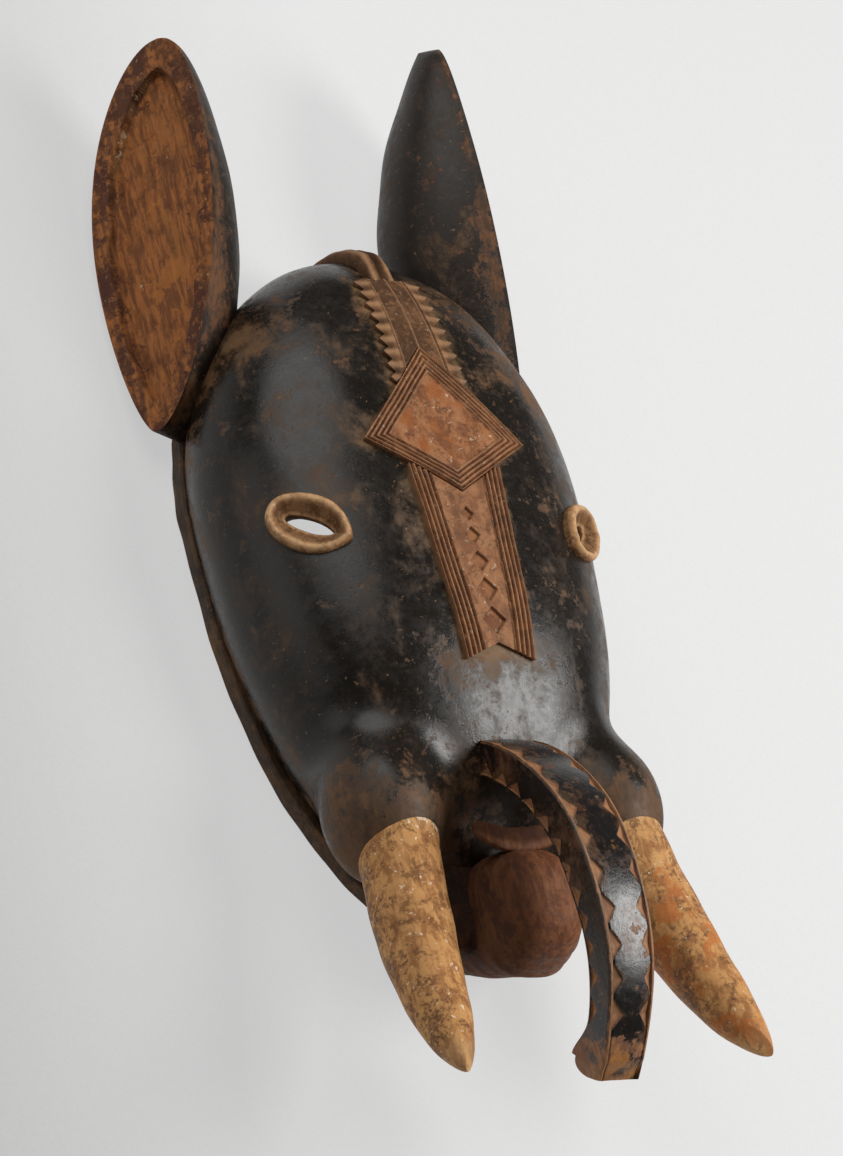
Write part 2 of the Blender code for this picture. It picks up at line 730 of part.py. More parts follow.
def make_lozenges(collection):
    """A row of lozenge-shaped recesses down the band's middle, growing to its end."""
    bm = bmesh.new()
    floor = BAND_RISE - GROOVE_DEPTH - LOZENGE_DEPTH
    for i in range(LOZENGES):
        share = i / (LOZENGES - 1)
        y = LOZENGE_FIRST_Y + (LOZENGE_LAST_Y - LOZENGE_FIRST_Y) * share ** 1.15
        size = LOZENGE_FIRST_SIZE + (LOZENGE_LAST_SIZE - LOZENGE_FIRST_SIZE) * share
        half_x, half_y = 0.46 * size, 0.5 * size
        plan = ((-half_x, 0), (0, -half_y), (half_x, 0), (0, half_y))
        low = [on_head(x, y + dy, floor) for x, dy in plan]
        high = [on_head(x, y + dy, BAND_RISE + SINK) for x, dy in plan]
        verts = [bm.verts.new(point) for point in low + high]
        bmesh.ops.convex_hull(bm, input=verts)
    return add_object("lozenges", bm, collection)


def make_plait(collection):
    """The upper band: two smooth facets with a ridge, between toothed edges."""
    rows = 2 * TEETH + 1
    top, bottom = [], []
    for i in range(rows):
        share = i / (rows - 1)
        y = PLAIT_TOP_Y + (PLAIT_BOTTOM_Y - PLAIT_TOP_Y) * share
        half = PLAIT_TOP_HALF_WIDTH + (PLAIT_BOTTOM_HALF_WIDTH - PLAIT_TOP_HALF_WIDTH) * share
        edge = half + (TOOTH if i % 2 else 0)
        inner = PLAIT_FACETS * half
        profile = [(edge, PLAIT_RISE), (inner + PLAIT_STEP, PLAIT_RISE), (inner, 0.6 * PLAIT_RISE)]
        left = [(-x, rise) for x, rise in profile]
        columns = left + [(0, 1.25 * PLAIT_RISE)] + [(x, rise) for x, rise in reversed(profile)]
        top.append([on_head(x, y, rise) for x, rise in columns])
        bottom.append([on_head(x, y, -SINK) for x, _ in columns])
    return grid_body("upper_band", top, bottom, collection)


def make_ground(collection):
    size = 1.0
    bm = bmesh.new()
    bmesh.ops.create_cube(bm, size=size)
    bmesh.ops.translate(bm, vec=(0, 0, -size / 2), verts=bm.verts)
    return add_object("ground_cut", bm, collection)


def boolean(target, name, operation, collection):
    modifier = target.modifiers.new(name, "BOOLEAN")
    modifier.operation = operation
    modifier.operand_type = "COLLECTION"
    modifier.collection = collection
    modifier.solver = "EXACT"


def new_collection(name, parent):
    made = bpy.data.collections.new(name)
    parent.children.link(made)
    return made


def hide(collection):
    for helper in collection.objects:
        helper.hide_render = True
        helper.display_type = "WIRE"


def centre_over_origin(objects, target):
    """Move everything so that the middle of the mask's width and length is over the origin."""
    bpy.context.view_layer.update()
    graph = bpy.context.evaluated_depsgraph_get()
    mesh = target.evaluated_get(graph).to_mesh()
    for axis in (0, 1):
        reach = [vertex.co[axis] for vertex in mesh.vertices]
        shift = -(min(reach) + max(reach)) / 2
        for each in objects:
            each.location[axis] = shift


def main():
    clear_scene()
    scene = bpy.context.scene.collection
    model = new_collection("Elephant mask", scene)
    helpers = new_collection("Cutters", scene)
    first_cuts = new_collection("Mouth cut", helpers)
    joined = new_collection("Joined forms", helpers)
    last_cuts = new_collection("Hollow and fine cuts", helpers)

    mask = make_head(model)
    mask.data.materials.append(material("blackened_wood", (0.045, 0.035, 0.03), 0.42))

    make_mouth(first_cuts)
    make_rim(joined)
    make_jaw(joined)
    make_trunk(joined)
    make_crest(joined)
    make_diamond(joined)
    make_band(joined)
    make_plait(joined)
    for side in (-1, 1):
        make_socket(side, joined)
        make_tusk(side, joined)
        make_ear(side, joined)
        make_eye_rim(side, joined)
        make_eye_slit(side, last_cuts)
    make_hollow(last_cuts)
    make_lozenges(last_cuts)
    make_trunk_chips(last_cuts)
    make_ground(last_cuts)

    boolean(mask, "Cut the mouth", "DIFFERENCE", first_cuts)
    boolean(mask, "Join the forms", "UNION", joined)
    boolean(mask, "Hollow the mask", "DIFFERENCE", last_cuts)
    for group in (first_cuts, joined, last_cuts):
        hide(group)
    everything = [mask] + [each for group in (first_cuts, joined, last_cuts) for each in group.objects]
    centre_over_origin(everything, mask)


main()
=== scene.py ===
import math

import bpy
import numpy as np
from mathutils import Matrix, Vector


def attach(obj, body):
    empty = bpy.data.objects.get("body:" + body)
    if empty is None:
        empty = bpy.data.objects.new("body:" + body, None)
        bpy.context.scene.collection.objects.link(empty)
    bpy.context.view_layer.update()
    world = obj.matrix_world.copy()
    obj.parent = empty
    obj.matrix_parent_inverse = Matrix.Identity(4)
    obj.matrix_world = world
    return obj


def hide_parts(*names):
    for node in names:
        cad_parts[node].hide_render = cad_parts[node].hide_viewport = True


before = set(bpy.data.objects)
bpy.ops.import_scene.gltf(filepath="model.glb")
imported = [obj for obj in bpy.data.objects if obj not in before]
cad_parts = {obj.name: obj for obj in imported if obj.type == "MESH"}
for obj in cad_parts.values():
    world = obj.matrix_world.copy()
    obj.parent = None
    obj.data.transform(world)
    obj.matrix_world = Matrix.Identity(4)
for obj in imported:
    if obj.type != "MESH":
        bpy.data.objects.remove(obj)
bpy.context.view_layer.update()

# Sizes are in millimetres from the carver's centre line: x across, y towards the ears, z up
# from the rim that the mask lies on. A place plus MIDDLE is the same place in the frame.
MM = 0.001
MIDDLE = np.array((3.645, -40.118, 0.0))

WIDEST_Y = 68.0
SECTION_POWER = 2.8
TUCK_HEIGHT = 45.0
TUCK = 0.12
MUZZLE_POWER = 2.16


class Dome:
    """The skull's shell form: a plan of two half ovals under a long crown line."""

    def __init__(self, half_width, height, top_y, muzzle_y):
        self.half_width = half_width
        self.height = height
        self.top_y = top_y
        self.muzzle_y = muzzle_y

    def width_at(self, y):
        up = np.clip((y - WIDEST_Y) / (self.top_y - WIDEST_Y), 0, 1)
        down = np.clip((WIDEST_Y - y) / (WIDEST_Y - self.muzzle_y), 0, 1)
        share = np.where(y > WIDEST_Y, 1 - up**2, 1 - down**MUZZLE_POWER)
        return self.half_width * np.sqrt(share)

    def crown_at(self, y):
        up = np.clip(y / self.top_y, 0, 1)
        down = np.clip(y / self.muzzle_y, 0, 1)
        return self.height * np.where(y > 0, (1 - up**4) ** 0.294, (1 - down**2) ** 0.56)

    def height_at(self, x, y):
        across = np.clip(np.abs(x) / np.maximum(self.width_at(y), 1e-6), 0, 1)
        return self.crown_at(y) * (1 - across**SECTION_POWER) ** (1 / SECTION_POWER)

    def place(self, angle, lift, tuck):
        across, along = np.cos(angle), np.sin(angle)
        up = (self.top_y - WIDEST_Y) * along
        down = (self.muzzle_y - WIDEST_Y) * np.abs(along) ** (2 / MUZZLE_POWER)
        scale = np.abs(np.cos(lift)) ** (2 / SECTION_POWER)
        x = self.half_width * across * scale
        y = WIDEST_Y + np.where(along >= 0, up, down) * scale
        z = np.where(lift > 1e-6, self.height_at(x, y), 0.0)
        draw = 1 - tuck * np.clip(1 - z / TUCK_HEIGHT, 0, 1) ** 2
        return np.stack((x * draw, WIDEST_Y + (y - WIDEST_Y) * draw, z), -1)


HEAD = Dome(106.0, 91.0, 207.0, -147.0)
INSIDE = Dome(93.5, 78.0, 194.5, -112.0)

SOCKET_X, SOCKET_Y, SOCKET_Z = 62, -98, 54
SOCKET_HALF = (28, 36, 29)
SCOOP_MIDDLE, SCOOP_HALF = (0, -128, 103), (40, 46, 57)


def ripple(x, y):
    """The long shallow waves that a hand adze leaves in a smoothed surface."""
    waves = np.sin(x / 9.0 + 0.4 * np.sin(y / 14.0)) * np.sin(y / 16.0 + 1.3)
    return 0.22 * waves + 0.16 * np.sin(x / 21.0 - y / 12.0) + 0.1 * np.sin(x / 5.5 + y / 27.0)


def unit(vectors):
    return vectors / np.maximum(np.linalg.norm(vectors, axis=-1, keepdims=True), 1e-9)


def head_normal(x, y):
    slope_x = HEAD.height_at(x + 0.5, y) - HEAD.height_at(x - 0.5, y)
    slope_y = HEAD.height_at(x, y + 0.5) - HEAD.height_at(x, y - 0.5)
    return unit(np.stack((-slope_x, -slope_y, np.ones_like(slope_x)), -1))


def on_head(x, y, rise):
    foot = np.stack((x, y, HEAD.height_at(x, y)), -1)
    return foot + head_normal(x, y) * (rise + ripple(x, y))[..., None]


def smooth_step(value):
    value = np.clip(value, 0, 1)
    return value * value * (3 - 2 * value)


def melt(a, b, reach):
    """The union of two distance fields with a fillet between them."""
    share = np.clip(0.5 + 0.5 * (b - a) / reach, 0, 1)
    return b * (1 - share) + a * share - reach * share * (1 - share)


def egg_field(points, centre, half_size):
    off = points - np.array(centre)
    scaled = np.linalg.norm(off / np.array(half_size), axis=-1)
    return np.linalg.norm(off, axis=-1) * (1 - 1 / np.maximum(scaled, 1e-6))


def skull_field(points):
    """Below zero inside the head: the dome, its tusk sockets, and the scoop of the muzzle."""
    x, y, z = points[..., 0], points[..., 1], points[..., 2]
    draw = 1 - TUCK * np.clip(1 - z / TUCK_HEIGHT, 0, 1) ** 2
    x, y = x / draw, WIDEST_Y + (y - WIDEST_Y) / draw
    wide = np.maximum(HEAD.width_at(y), 1e-3)
    high = np.maximum(HEAD.crown_at(y), 1e-3)
    stretch = (np.abs(x) / wide) ** SECTION_POWER + (np.maximum(z, 0) / high) ** SECTION_POWER
    stretch = np.maximum(stretch, 1e-9) ** (1 / SECTION_POWER)
    field = np.hypot(x, z) * (1 - 1 / stretch)
    field = np.maximum(field, np.maximum(HEAD.muzzle_y - y, y - HEAD.top_y))
    for side in (-1, 1):
        socket = egg_field(points, (side * SOCKET_X, SOCKET_Y, SOCKET_Z), SOCKET_HALF)
        field = melt(field, socket, 20.0)
    scoop = egg_field(points, SCOOP_MIDDLE, SCOOP_HALF)
    return -melt(-field, scoop, 5.0)


def pressed_out(points):
    """Moves the dome's points along their spokes to where the finished head's surface is."""
    anchor = points * np.array((0, 0.8, 0))
    spoke = points - anchor
    nearest, farthest, step = 0.45, 1.7, 0.0167
    inner = np.full(len(points), nearest)
    outer = np.full(len(points), farthest)
    found = np.zeros(len(points), bool)
    for reach in np.linspace(farthest, nearest, 76):
        inside = skull_field(anchor + spoke * reach) < 0
        first = inside & ~found
        inner[first] = reach
        outer[first] = reach + step
        found |= inside
    for _ in range(18):
        middle = (inner + outer) / 2
        inside = skull_field(anchor + spoke * middle[:, None]) < 0
        inner = np.where(inside, middle, inner)
        outer = np.where(inside, outer, middle)
    placed = anchor + spoke * inner[:, None]
    lifted = ripple(placed[:, 0], placed[:, 1]) * smooth_step(placed[:, 2] / 20)
    return placed + unit(spoke) * lifted[:, None]


def select_only(piece):
    bpy.ops.object.select_all(action="DESELECT")
    piece.select_set(True)
    bpy.context.view_layer.objects.active = piece


def points_of(piece):
    flat = np.empty(len(piece.data.vertices) * 3, np.float32)
    piece.data.vertices.foreach_get("co", flat)
    return flat.reshape(-1, 3).astype(float)


def carver_points(piece):
    return points_of(piece) / MM - MIDDLE


def set_points(piece, points):
    moved = ((points + MIDDLE) * MM).astype(np.float32)
    piece.data.vertices.foreach_set("co", moved.ravel())
    piece.data.update()


def outwards(piece, sharp=38):
    select_only(piece)
    bpy.ops.object.mode_set(mode="EDIT")
    bpy.ops.mesh.select_all(action="SELECT")
    bpy.ops.mesh.normals_make_consistent(inside=False)
    bpy.ops.object.mode_set(mode="OBJECT")
    bpy.ops.object.shade_smooth_by_angle(angle=math.radians(sharp))


def mark(piece, name, values):
    layer = piece.data.attributes.new(name, "FLOAT", "POINT")
    layer.data.foreach_set("value", np.clip(values, 0, 1).astype(np.float32))


def pressed_ball(name, around, rings, shape, sharp=38):
    """A ball whose rings are pressed into a closed form; shape places ring and column numbers."""
    bpy.ops.object.select_all(action="DESELECT")
    bpy.ops.mesh.primitive_uv_sphere_add(segments=around, ring_count=rings)
    piece = bpy.context.active_object
    piece.name = name
    start = points_of(piece)
    ring = np.rint(np.arccos(np.clip(start[:, 2], -1, 1)) / math.pi * rings)
    column = np.rint(np.arctan2(start[:, 1], start[:, 0]) / (2 * math.pi) * around) % around
    set_points(piece, shape(ring, column))
    outwards(piece, sharp)
    return piece, ring, column


def pressed_slab(name, across, along, shape, sharp=38):
    """A flat grid given a thickness, then bent; shape places its two shares and its layer."""
    bpy.ops.object.select_all(action="DESELECT")
    bpy.ops.mesh.primitive_grid_add(x_subdivisions=across, y_subdivisions=along, size=2)
    piece = bpy.context.active_object
    piece.name = name
    bpy.ops.object.mode_set(mode="EDIT")
    bpy.ops.mesh.select_all(action="SELECT")
    bpy.ops.mesh.extrude_region_move(TRANSFORM_OT_translate={"value": (0, 0, -1)})
    bpy.ops.object.mode_set(mode="OBJECT")
    start = points_of(piece)
    u, v = (start[:, 0] + 1) / 2, (start[:, 1] + 1) / 2
    top = start[:, 2] > -0.5
    set_points(piece, shape(u, v, top))
    outwards(piece, sharp)
    return piece, u, v, top


def take_away(piece, cutter):
    select_only(piece)
    cut = piece.modifiers.new("Cut", "BOOLEAN")
    cut.operation = "DIFFERENCE"
    cut.solver = "EXACT"
    cut.object = cutter
    bpy.ops.object.modifier_apply(modifier=cut.name)
    bpy.data.objects.remove(cutter, do_unlink=True)


def finish_piece(piece, material):
    piece.data.materials.clear()
    piece.data.materials.append(material)
    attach(piece, "root")
    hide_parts("elephant_mask")


class Recipe:
    """A material built from nodes on the object's own coordinates."""

    def __init__(self, name):
        self.material = bpy.data.materials.new(name)
        self.material.use_nodes = True
        self.tree = self.material.node_tree
        self.shader = self.tree.nodes["Principled BSDF"]
        self.place = self.node("ShaderNodeTexCoord").outputs["Object"]

    def node(self, kind):
        return self.tree.nodes.new(kind)

    def link(self, value, socket):
        if isinstance(value, bpy.types.NodeSocket):
            self.tree.links.new(value, socket)
        else:
            socket.default_value = value

    def stretched(self, scale):
        mapping = self.node("ShaderNodeMapping")
        self.link(self.place, mapping.inputs["Vector"])
        mapping.inputs["Scale"].default_value = scale
        return mapping.outputs["Vector"]

    def noise(self, scale, detail=5.0, rough=0.6, vector=None, warp=0.0):
        made = self.node("ShaderNodeTexNoise")
        self.link(vector or self.place, made.inputs["Vector"])
        made.inputs["Scale"].default_value = scale
        made.inputs["Detail"].default_value = detail
        made.inputs["Roughness"].default_value = rough
        made.inputs["Distortion"].default_value = warp
        return made.outputs[0]

    def attribute(self, name):
        made = self.node("ShaderNodeAttribute")
        made.attribute_name = name
        return made.outputs["Fac"]

    def sum(self, operation, a, b=0.0, c=0.0):
        made = self.node("ShaderNodeMath")
        made.operation = operation
        for value, socket in zip((a, b, c), made.inputs):
            self.link(value, socket)
        return made.outputs[0]

    def between(self, value, low, high, bottom=0.0, top=1.0):
        made = self.node("ShaderNodeMapRange")
        made.interpolation_type = "SMOOTHSTEP"
        for each, socket in zip((value, low, high, bottom, top), made.inputs):
            self.link(each, socket)
        return made.outputs[0]

    def mix(self, share, a, b):
        made = self.node("ShaderNodeMix")
        made.data_type = "RGBA"
        self.link(share, made.inputs[0])
        self.link(a, made.inputs[6])
        self.link(b, made.inputs[7])
        return made.outputs[2]

    def bump(self, height, distance, strength=1.0, normal=None):
        made = self.node("ShaderNodeBump")
        made.inputs["Strength"].default_value = strength
        made.inputs["Distance"].default_value = distance
        self.link(height, made.inputs["Height"])
        if normal:
            self.link(normal, made.inputs["Normal"])
        return made.outputs[0]


def rgb(red, green, blue):
    """A colour given as it looks on a screen, 0 to 255."""
    shares = [channel / 255 for channel in (red, green, blue)]
    linear = [s / 12.92 if s <= 0.04045 else ((s + 0.055) / 1.055) ** 2.4 for s in shares]
    return (*linear, 1.0)


def aged_wood(
    name, wood, grain, paint, dust, cover, gloss, patch=26.0, dusty=0.35, haze=0.4, streak=0.5,
    fleck=0.0, fleck_scale=120.0, shine=0.22, rough_depth=0.0007, chalk=0.0, chalk_edge=0.635,
    warm=None,
):
    """Carved wood under worn paint: grain, the paint that is left, grime, dust, flecks, and painted shade
    where the deep mark is set.
    """
    r = Recipe(name)
    long_grain = r.noise(1.0, 6.0, 0.65, r.stretched((420, 55, 420)))
    blotch = r.noise(patch, 6.0, 0.62, warp=0.4)
    cloud = r.noise(patch * 2.1, 7.0, 0.68, r.stretched((1, 0.7, 1)), 0.5)
    scuff = r.noise(patch * 7, 6.0, 0.72)
    fine = r.noise(1500.0, 3.0, 0.6)
    wear, dust_near = r.attribute("wear"), r.attribute("dust")
    deep, rub = r.attribute("deep"), r.attribute("rub")

    tone = r.sum("ADD", r.sum("MULTIPLY", long_grain, streak), r.sum("MULTIPLY", cloud, 1 - streak))
    body = r.mix(r.between(tone, 0.42, 0.58), grain, wood)
    left = r.sum("ADD", r.sum("MULTIPLY", blotch, 0.5), r.sum("MULTIPLY", scuff, 0.5))
    left = r.sum("SUBTRACT", left, r.sum("MULTIPLY", wear, 0.42))
    edge = 0.5 + (0.5 - cover) * 0.42
    painted = r.between(left, edge - 0.04, edge + 0.035)
    lighter = tuple(1.5 * channel for channel in paint[:3]) + (1.0,)
    colour = r.mix(painted, body, r.mix(r.between(scuff, 0.40, 0.72), paint, lighter))

    veil = r.between(r.sum("ADD", cloud, r.sum("MULTIPLY", scuff, 0.35)), 0.64, 0.86, 0.0, haze)
    colour = r.mix(veil, colour, grain)
    film = r.sum("ADD", cloud, r.sum("MULTIPLY", dust_near, 0.42))
    film = r.sum("ADD", film, r.sum("MULTIPLY", r.sum("SUBTRACT", scuff, 0.5), 0.5))
    dusted = r.between(film, 0.56, 0.98, 0.0, dusty + 0.35)
    colour = r.mix(dusted, colour, dust)
    speck = r.between(r.noise(430.0, 3.0, 0.6), 0.66, 0.70)
    sparse = r.between(blotch, 0.47, 0.60, 0.0, 0.5)
    colour = r.mix(r.sum("MULTIPLY", speck, sparse), colour, dust)
    if fleck:
        spots = r.between(r.noise(fleck_scale, 7.0, 0.78, warp=0.2), 0.53, 0.60, 0.0, fleck)
        dark = tuple(0.5 * channel for channel in grain[:3]) + (1.0,)
        colour = r.mix(spots, colour, dark)
    if chalk:
        crusty = r.sum("MULTIPLY", r.attribute("crust"), 0.2)
        spots = r.sum("ADD", r.noise(310.0, 4.0, 0.7, warp=0.3), crusty)
        spots = r.between(spots, chalk_edge, chalk_edge + 0.03, 0.0, chalk)
        colour = r.mix(spots, colour, rgb(226, 208, 182))
    if warm:
        bare = r.sum("MULTIPLY", r.attribute("bare"), 0.3)
        patches = r.sum("ADD", r.noise(75.0, 4.0, 0.6, warp=0.5), bare)
        colour = r.mix(r.between(patches, 0.66, 0.74, 0.0, 0.7), colour, warm)
    colour = r.mix(r.sum("MULTIPLY", rub, 0.6), colour, dust)
    # deep marks painted shade: recesses, walls and undersides are darkened towards a near-black of the
    # grain colour.
    painted_shade = tuple(0.22 * channel for channel in grain[:3]) + (1.0,)
    colour = r.mix(r.sum("MULTIPLY", deep, 0.85), colour, painted_shade)
    r.link(colour, r.shader.inputs["Base Color"])

    rough = r.between(painted, 0.0, 1.0, 0.6, gloss)
    rough = r.sum("ADD", rough, r.sum("MULTIPLY", r.sum("ADD", dusted, veil), 0.4))
    rough = r.sum("ADD", rough, r.sum("MULTIPLY", r.sum("SUBTRACT", scuff, 0.5), 0.5))
    rough = r.sum("ADD", rough, r.sum("MULTIPLY", deep, 0.3))
    r.link(r.sum("MAXIMUM", r.sum("MINIMUM", rough, 0.95), 0.16), r.shader.inputs["Roughness"])
    r.shader.inputs["Specular IOR Level"].default_value = shine
    relief = r.sum("ADD", r.sum("MULTIPLY", painted, 0.35), r.sum("MULTIPLY", long_grain, streak))
    relief = r.sum("ADD", relief, r.sum("MULTIPLY", scuff, 0.6))
    coarse = r.bump(relief, rough_depth, 0.6)
    r.link(r.bump(fine, 0.00012, 0.35, coarse), r.shader.inputs["Normal"])
    return r.material


BLACK = rgb(22, 18, 14)
DUST = rgb(150, 116, 80)
SKULL_PAINT = aged_wood(
    "skull_paint", rgb(98, 68, 42), rgb(66, 46, 29), BLACK, DUST,
    cover=0.70, gloss=0.27, patch=22.0, dusty=0.2, haze=0.5, streak=0.25, shine=0.34,
    rough_depth=0.0003,
)
EAR_BACK_PAINT = aged_wood(
    "ear_back_paint", rgb(104, 66, 38), rgb(62, 43, 27), rgb(28, 21, 15), DUST,
    cover=0.70, gloss=0.42, shine=0.3, rough_depth=0.0004,
)
EAR_FACE_WOOD = aged_wood(
    "ear_face_wood", rgb(156, 96, 48), rgb(106, 62, 32), rgb(66, 33, 18), rgb(178, 134, 88),
    cover=0.52, gloss=0.46, patch=30.0, dusty=0.2, streak=0.65, fleck=0.5, chalk=0.5,
    chalk_edge=0.68, warm=rgb(162, 100, 46),
)
RELIEF_WOOD = aged_wood(
    "relief_wood", rgb(152, 102, 66), rgb(112, 68, 40), rgb(84, 50, 32), rgb(186, 148, 112),
    cover=0.42, gloss=0.38, patch=60.0, dusty=0.25, streak=0.15, fleck=0.65, fleck_scale=170.0,
    rough_depth=0.0004, chalk=0.4, warm=rgb(142, 82, 38),
)
BAND_WOOD = aged_wood(
    "smooth_band_wood", rgb(122, 84, 54), rgb(88, 60, 37), rgb(70, 47, 30), rgb(190, 148, 110),
    cover=0.45, gloss=0.38, patch=50.0, dusty=0.15, streak=0.15, fleck=0.4, fleck_scale=160.0,
    rough_depth=0.0004, chalk=0.2,
)
TRUNK_PAINT = aged_wood(
    "trunk_paint", rgb(160, 112, 72), rgb(118, 74, 44), rgb(21, 18, 17), DUST,
    cover=0.80, gloss=0.22, patch=34.0, dusty=0.15, haze=0.4, shine=0.5, rough_depth=0.0004,
    warm=rgb(172, 112, 44),
)
TUSK_WOOD = aged_wood(
    "tusk_wood", rgb(194, 144, 88), rgb(146, 98, 56), rgb(92, 60, 38), rgb(206, 172, 128),
    cover=0.42, gloss=0.38, patch=70.0, dusty=0.15, haze=0.3, streak=0.3, fleck=0.8,
    fleck_scale=125.0, chalk=0.75, warm=rgb(172, 98, 42),
)
MOUTH_WOOD = aged_wood(
    "mouth_wood", rgb(112, 70, 42), rgb(70, 42, 25), rgb(38, 25, 17), DUST,
    cover=0.55, gloss=0.42, patch=34.0, dusty=0.1, fleck=0.5,
)
LIP_WOOD = aged_wood(
    "lip_wood", rgb(136, 86, 54), rgb(98, 58, 37), rgb(60, 36, 24), DUST,
    cover=0.46, gloss=0.34, patch=34.0, dusty=0.1, fleck=0.5, rough_depth=0.0004,
    warm=rgb(142, 86, 54),
)
EYE_WOOD = aged_wood(
    "eye_rim_wood", rgb(190, 146, 100), rgb(142, 96, 58), rgb(86, 54, 33), rgb(220, 186, 146),
    cover=0.34, gloss=0.28, patch=110.0, dusty=0.2, streak=0.1, fleck=0.75, fleck_scale=200.0,
    chalk=0.5,
)
RIM_WOOD = aged_wood(
    "rim_wood", rgb(84, 60, 40), rgb(52, 38, 26), rgb(34, 26, 20), DUST, cover=0.5, gloss=0.55, fleck=0.3
)


SKULL_OUTER, SKULL_INNER, SKULL_AROUND = 120, 36, 300


def shape_skull(ring, column):
    angle = 2 * math.pi * column / SKULL_AROUND
    outside = ring <= SKULL_OUTER
    lift_out = math.pi / 2 * np.clip(1 - ring / SKULL_OUTER, 0, 1)
    lift_in = math.pi / 2 * np.clip((ring - SKULL_OUTER - 1) / SKULL_INNER, 0, 1)
    outer = pressed_out(HEAD.place(angle, lift_out, TUCK))
    inner = INSIDE.place(angle, lift_in, TUCK / 2)
    return np.where(outside[:, None], outer, inner)


KITE_TOP_Y, KITE_WIDE_Y, KITE_FOOT_Y, KITE_HALF = 130, 78, 50, 44.5
BAND_TOP_Y, BAND_END_Y = 64, -36.5
BAND_TOP_HALF, BAND_END_HALF = 25.5, 18.8
PLAIT_TOP_Y, PLAIT_END_Y = 175, 108
PLAIT_TOP_HALF, PLAIT_END_HALF = 14, 17


def kite_inset(x, y):
    """How far a point lies inside the forehead diamond's outline."""
    x = np.abs(x)
    above, below = KITE_TOP_Y - KITE_WIDE_Y, KITE_WIDE_Y - KITE_FOOT_Y
    upper = ((KITE_TOP_Y - y) * KITE_HALF - x * above) / math.hypot(KITE_HALF, above)
    lower = ((y - KITE_FOOT_Y) * KITE_HALF - x * below) / math.hypot(KITE_HALF, below)
    return np.minimum(upper, lower)


def band_half_width(y):
    share = np.clip((BAND_TOP_Y - y) / (BAND_TOP_Y - BAND_END_Y), 0, 1)
    return BAND_TOP_HALF + (BAND_END_HALF - BAND_TOP_HALF) * share


def plait_half_width(y):
    share = np.clip((PLAIT_TOP_Y - y) / (PLAIT_TOP_Y - PLAIT_END_Y), 0, 1)
    return PLAIT_TOP_HALF + (PLAIT_END_HALF - PLAIT_TOP_HALF) * share


def relief_inset(x, y):
    """How far a point lies inside the whole forehead carving's outline."""
    x = np.abs(x)
    lower = np.minimum(band_half_width(y) - x, np.minimum(y + 34, BAND_TOP_Y - y))
    upper = np.minimum(plait_half_width(y) + 4 - x, np.minimum(y - PLAIT_END_Y, PLAIT_TOP_Y - y))
    return np.maximum(np.maximum(kite_inset(x, y), lower), upper)


def make_skull():
    skull, _, _ = pressed_ball("skull", SKULL_AROUND, SKULL_OUTER + 1 + SKULL_INNER, shape_skull, 50)
    for side in (-1, 1):
        take_away(skull, make_slit_cutter(side))
    outwards(skull, 50)
    place = carver_points(skull)
    x, y, z = place[:, 0], place[:, 1], place[:, 2]
    halo = np.exp(-np.clip(-relief_inset(x, y), 0, None) / 3.6) * (z > 30)
    # crown makes the dome a little lighter towards its upper right.
    crown = smooth_step((y - 60) / 60) * smooth_step((x - 5) / 30)
    low = np.clip(1 - z / 34, 0, 1) ** 1.5
    ear_root = np.exp(-(np.hypot((np.abs(x) - 82) / 22, (y - 165) / 40) ** 2))
    front = smooth_step((-58 - y) / 42) * smooth_step((z - 8) / 20)
    shade = smooth_step((-80 - y) / 20) * (np.abs(x) < 60)
    mark(skull, "dust", 0.75 * halo + 0.6 * low + 0.35 * ear_root + 0.1 * front + 0.15 * crown)
    sheath = np.hypot((np.abs(x) - 60) / 30, (y + 108) / 34)
    around_tusks = np.exp(-(sheath**4)) * smooth_step((-92 - y) / 18)
    wear = 0.1 * halo + 0.2 * low + 0.22 * ear_root + 0.16 * front
    mark(skull, "wear", wear + 0.1 * crown + 0.2 * around_tusks)
    mark(skull, "deep", 0.5 * shade * np.exp(-(((x - 8) / 34) ** 2)))
    finish_piece(skull, SKULL_PAINT)


def eye_frame(side):
    x, y = np.array([side * 77.0]), np.array([39.0])
    out = Vector(head_normal(x, y)[0])
    tilt = math.radians(28)
    along = Vector((side * math.cos(tilt), math.sin(tilt), 0))
    along = (along - out * along.dot(out)).normalized()
    centre = on_head(x, y, np.zeros(1))[0]
    return centre, np.array(along), np.array(out.cross(along)), np.array(out)


def almond(turn, half_length, half_width):
    """An eye's outline: rounded at its outer end, drawn to a point at its inner one."""
    bow = np.sign(np.sin(turn)) * np.abs(np.sin(turn)) ** (1.2 - 0.35 * np.cos(turn))
    return half_length * np.cos(turn), half_width * bow


def make_slit_cutter(side):
    bpy.ops.object.select_all(action="DESELECT")
    bpy.ops.mesh.primitive_cylinder_add(vertices=64, radius=1, depth=2)
    cutter = bpy.context.active_object
    start = points_of(cutter)
    turn = np.arctan2(start[:, 1], start[:, 0])
    top = start[:, 2] > 0
    a, b = almond(turn, np.where(top, 18.5, 11.0), np.where(top, 10.8, 3.2))
    centre, along, short, out = eye_frame(side)
    deep = np.where(top, 8.0, -37.5)
    set_points(cutter, centre + np.outer(a, along) + np.outer(b, short) + np.outer(deep, out))
    outwards(cutter)
    return cutter


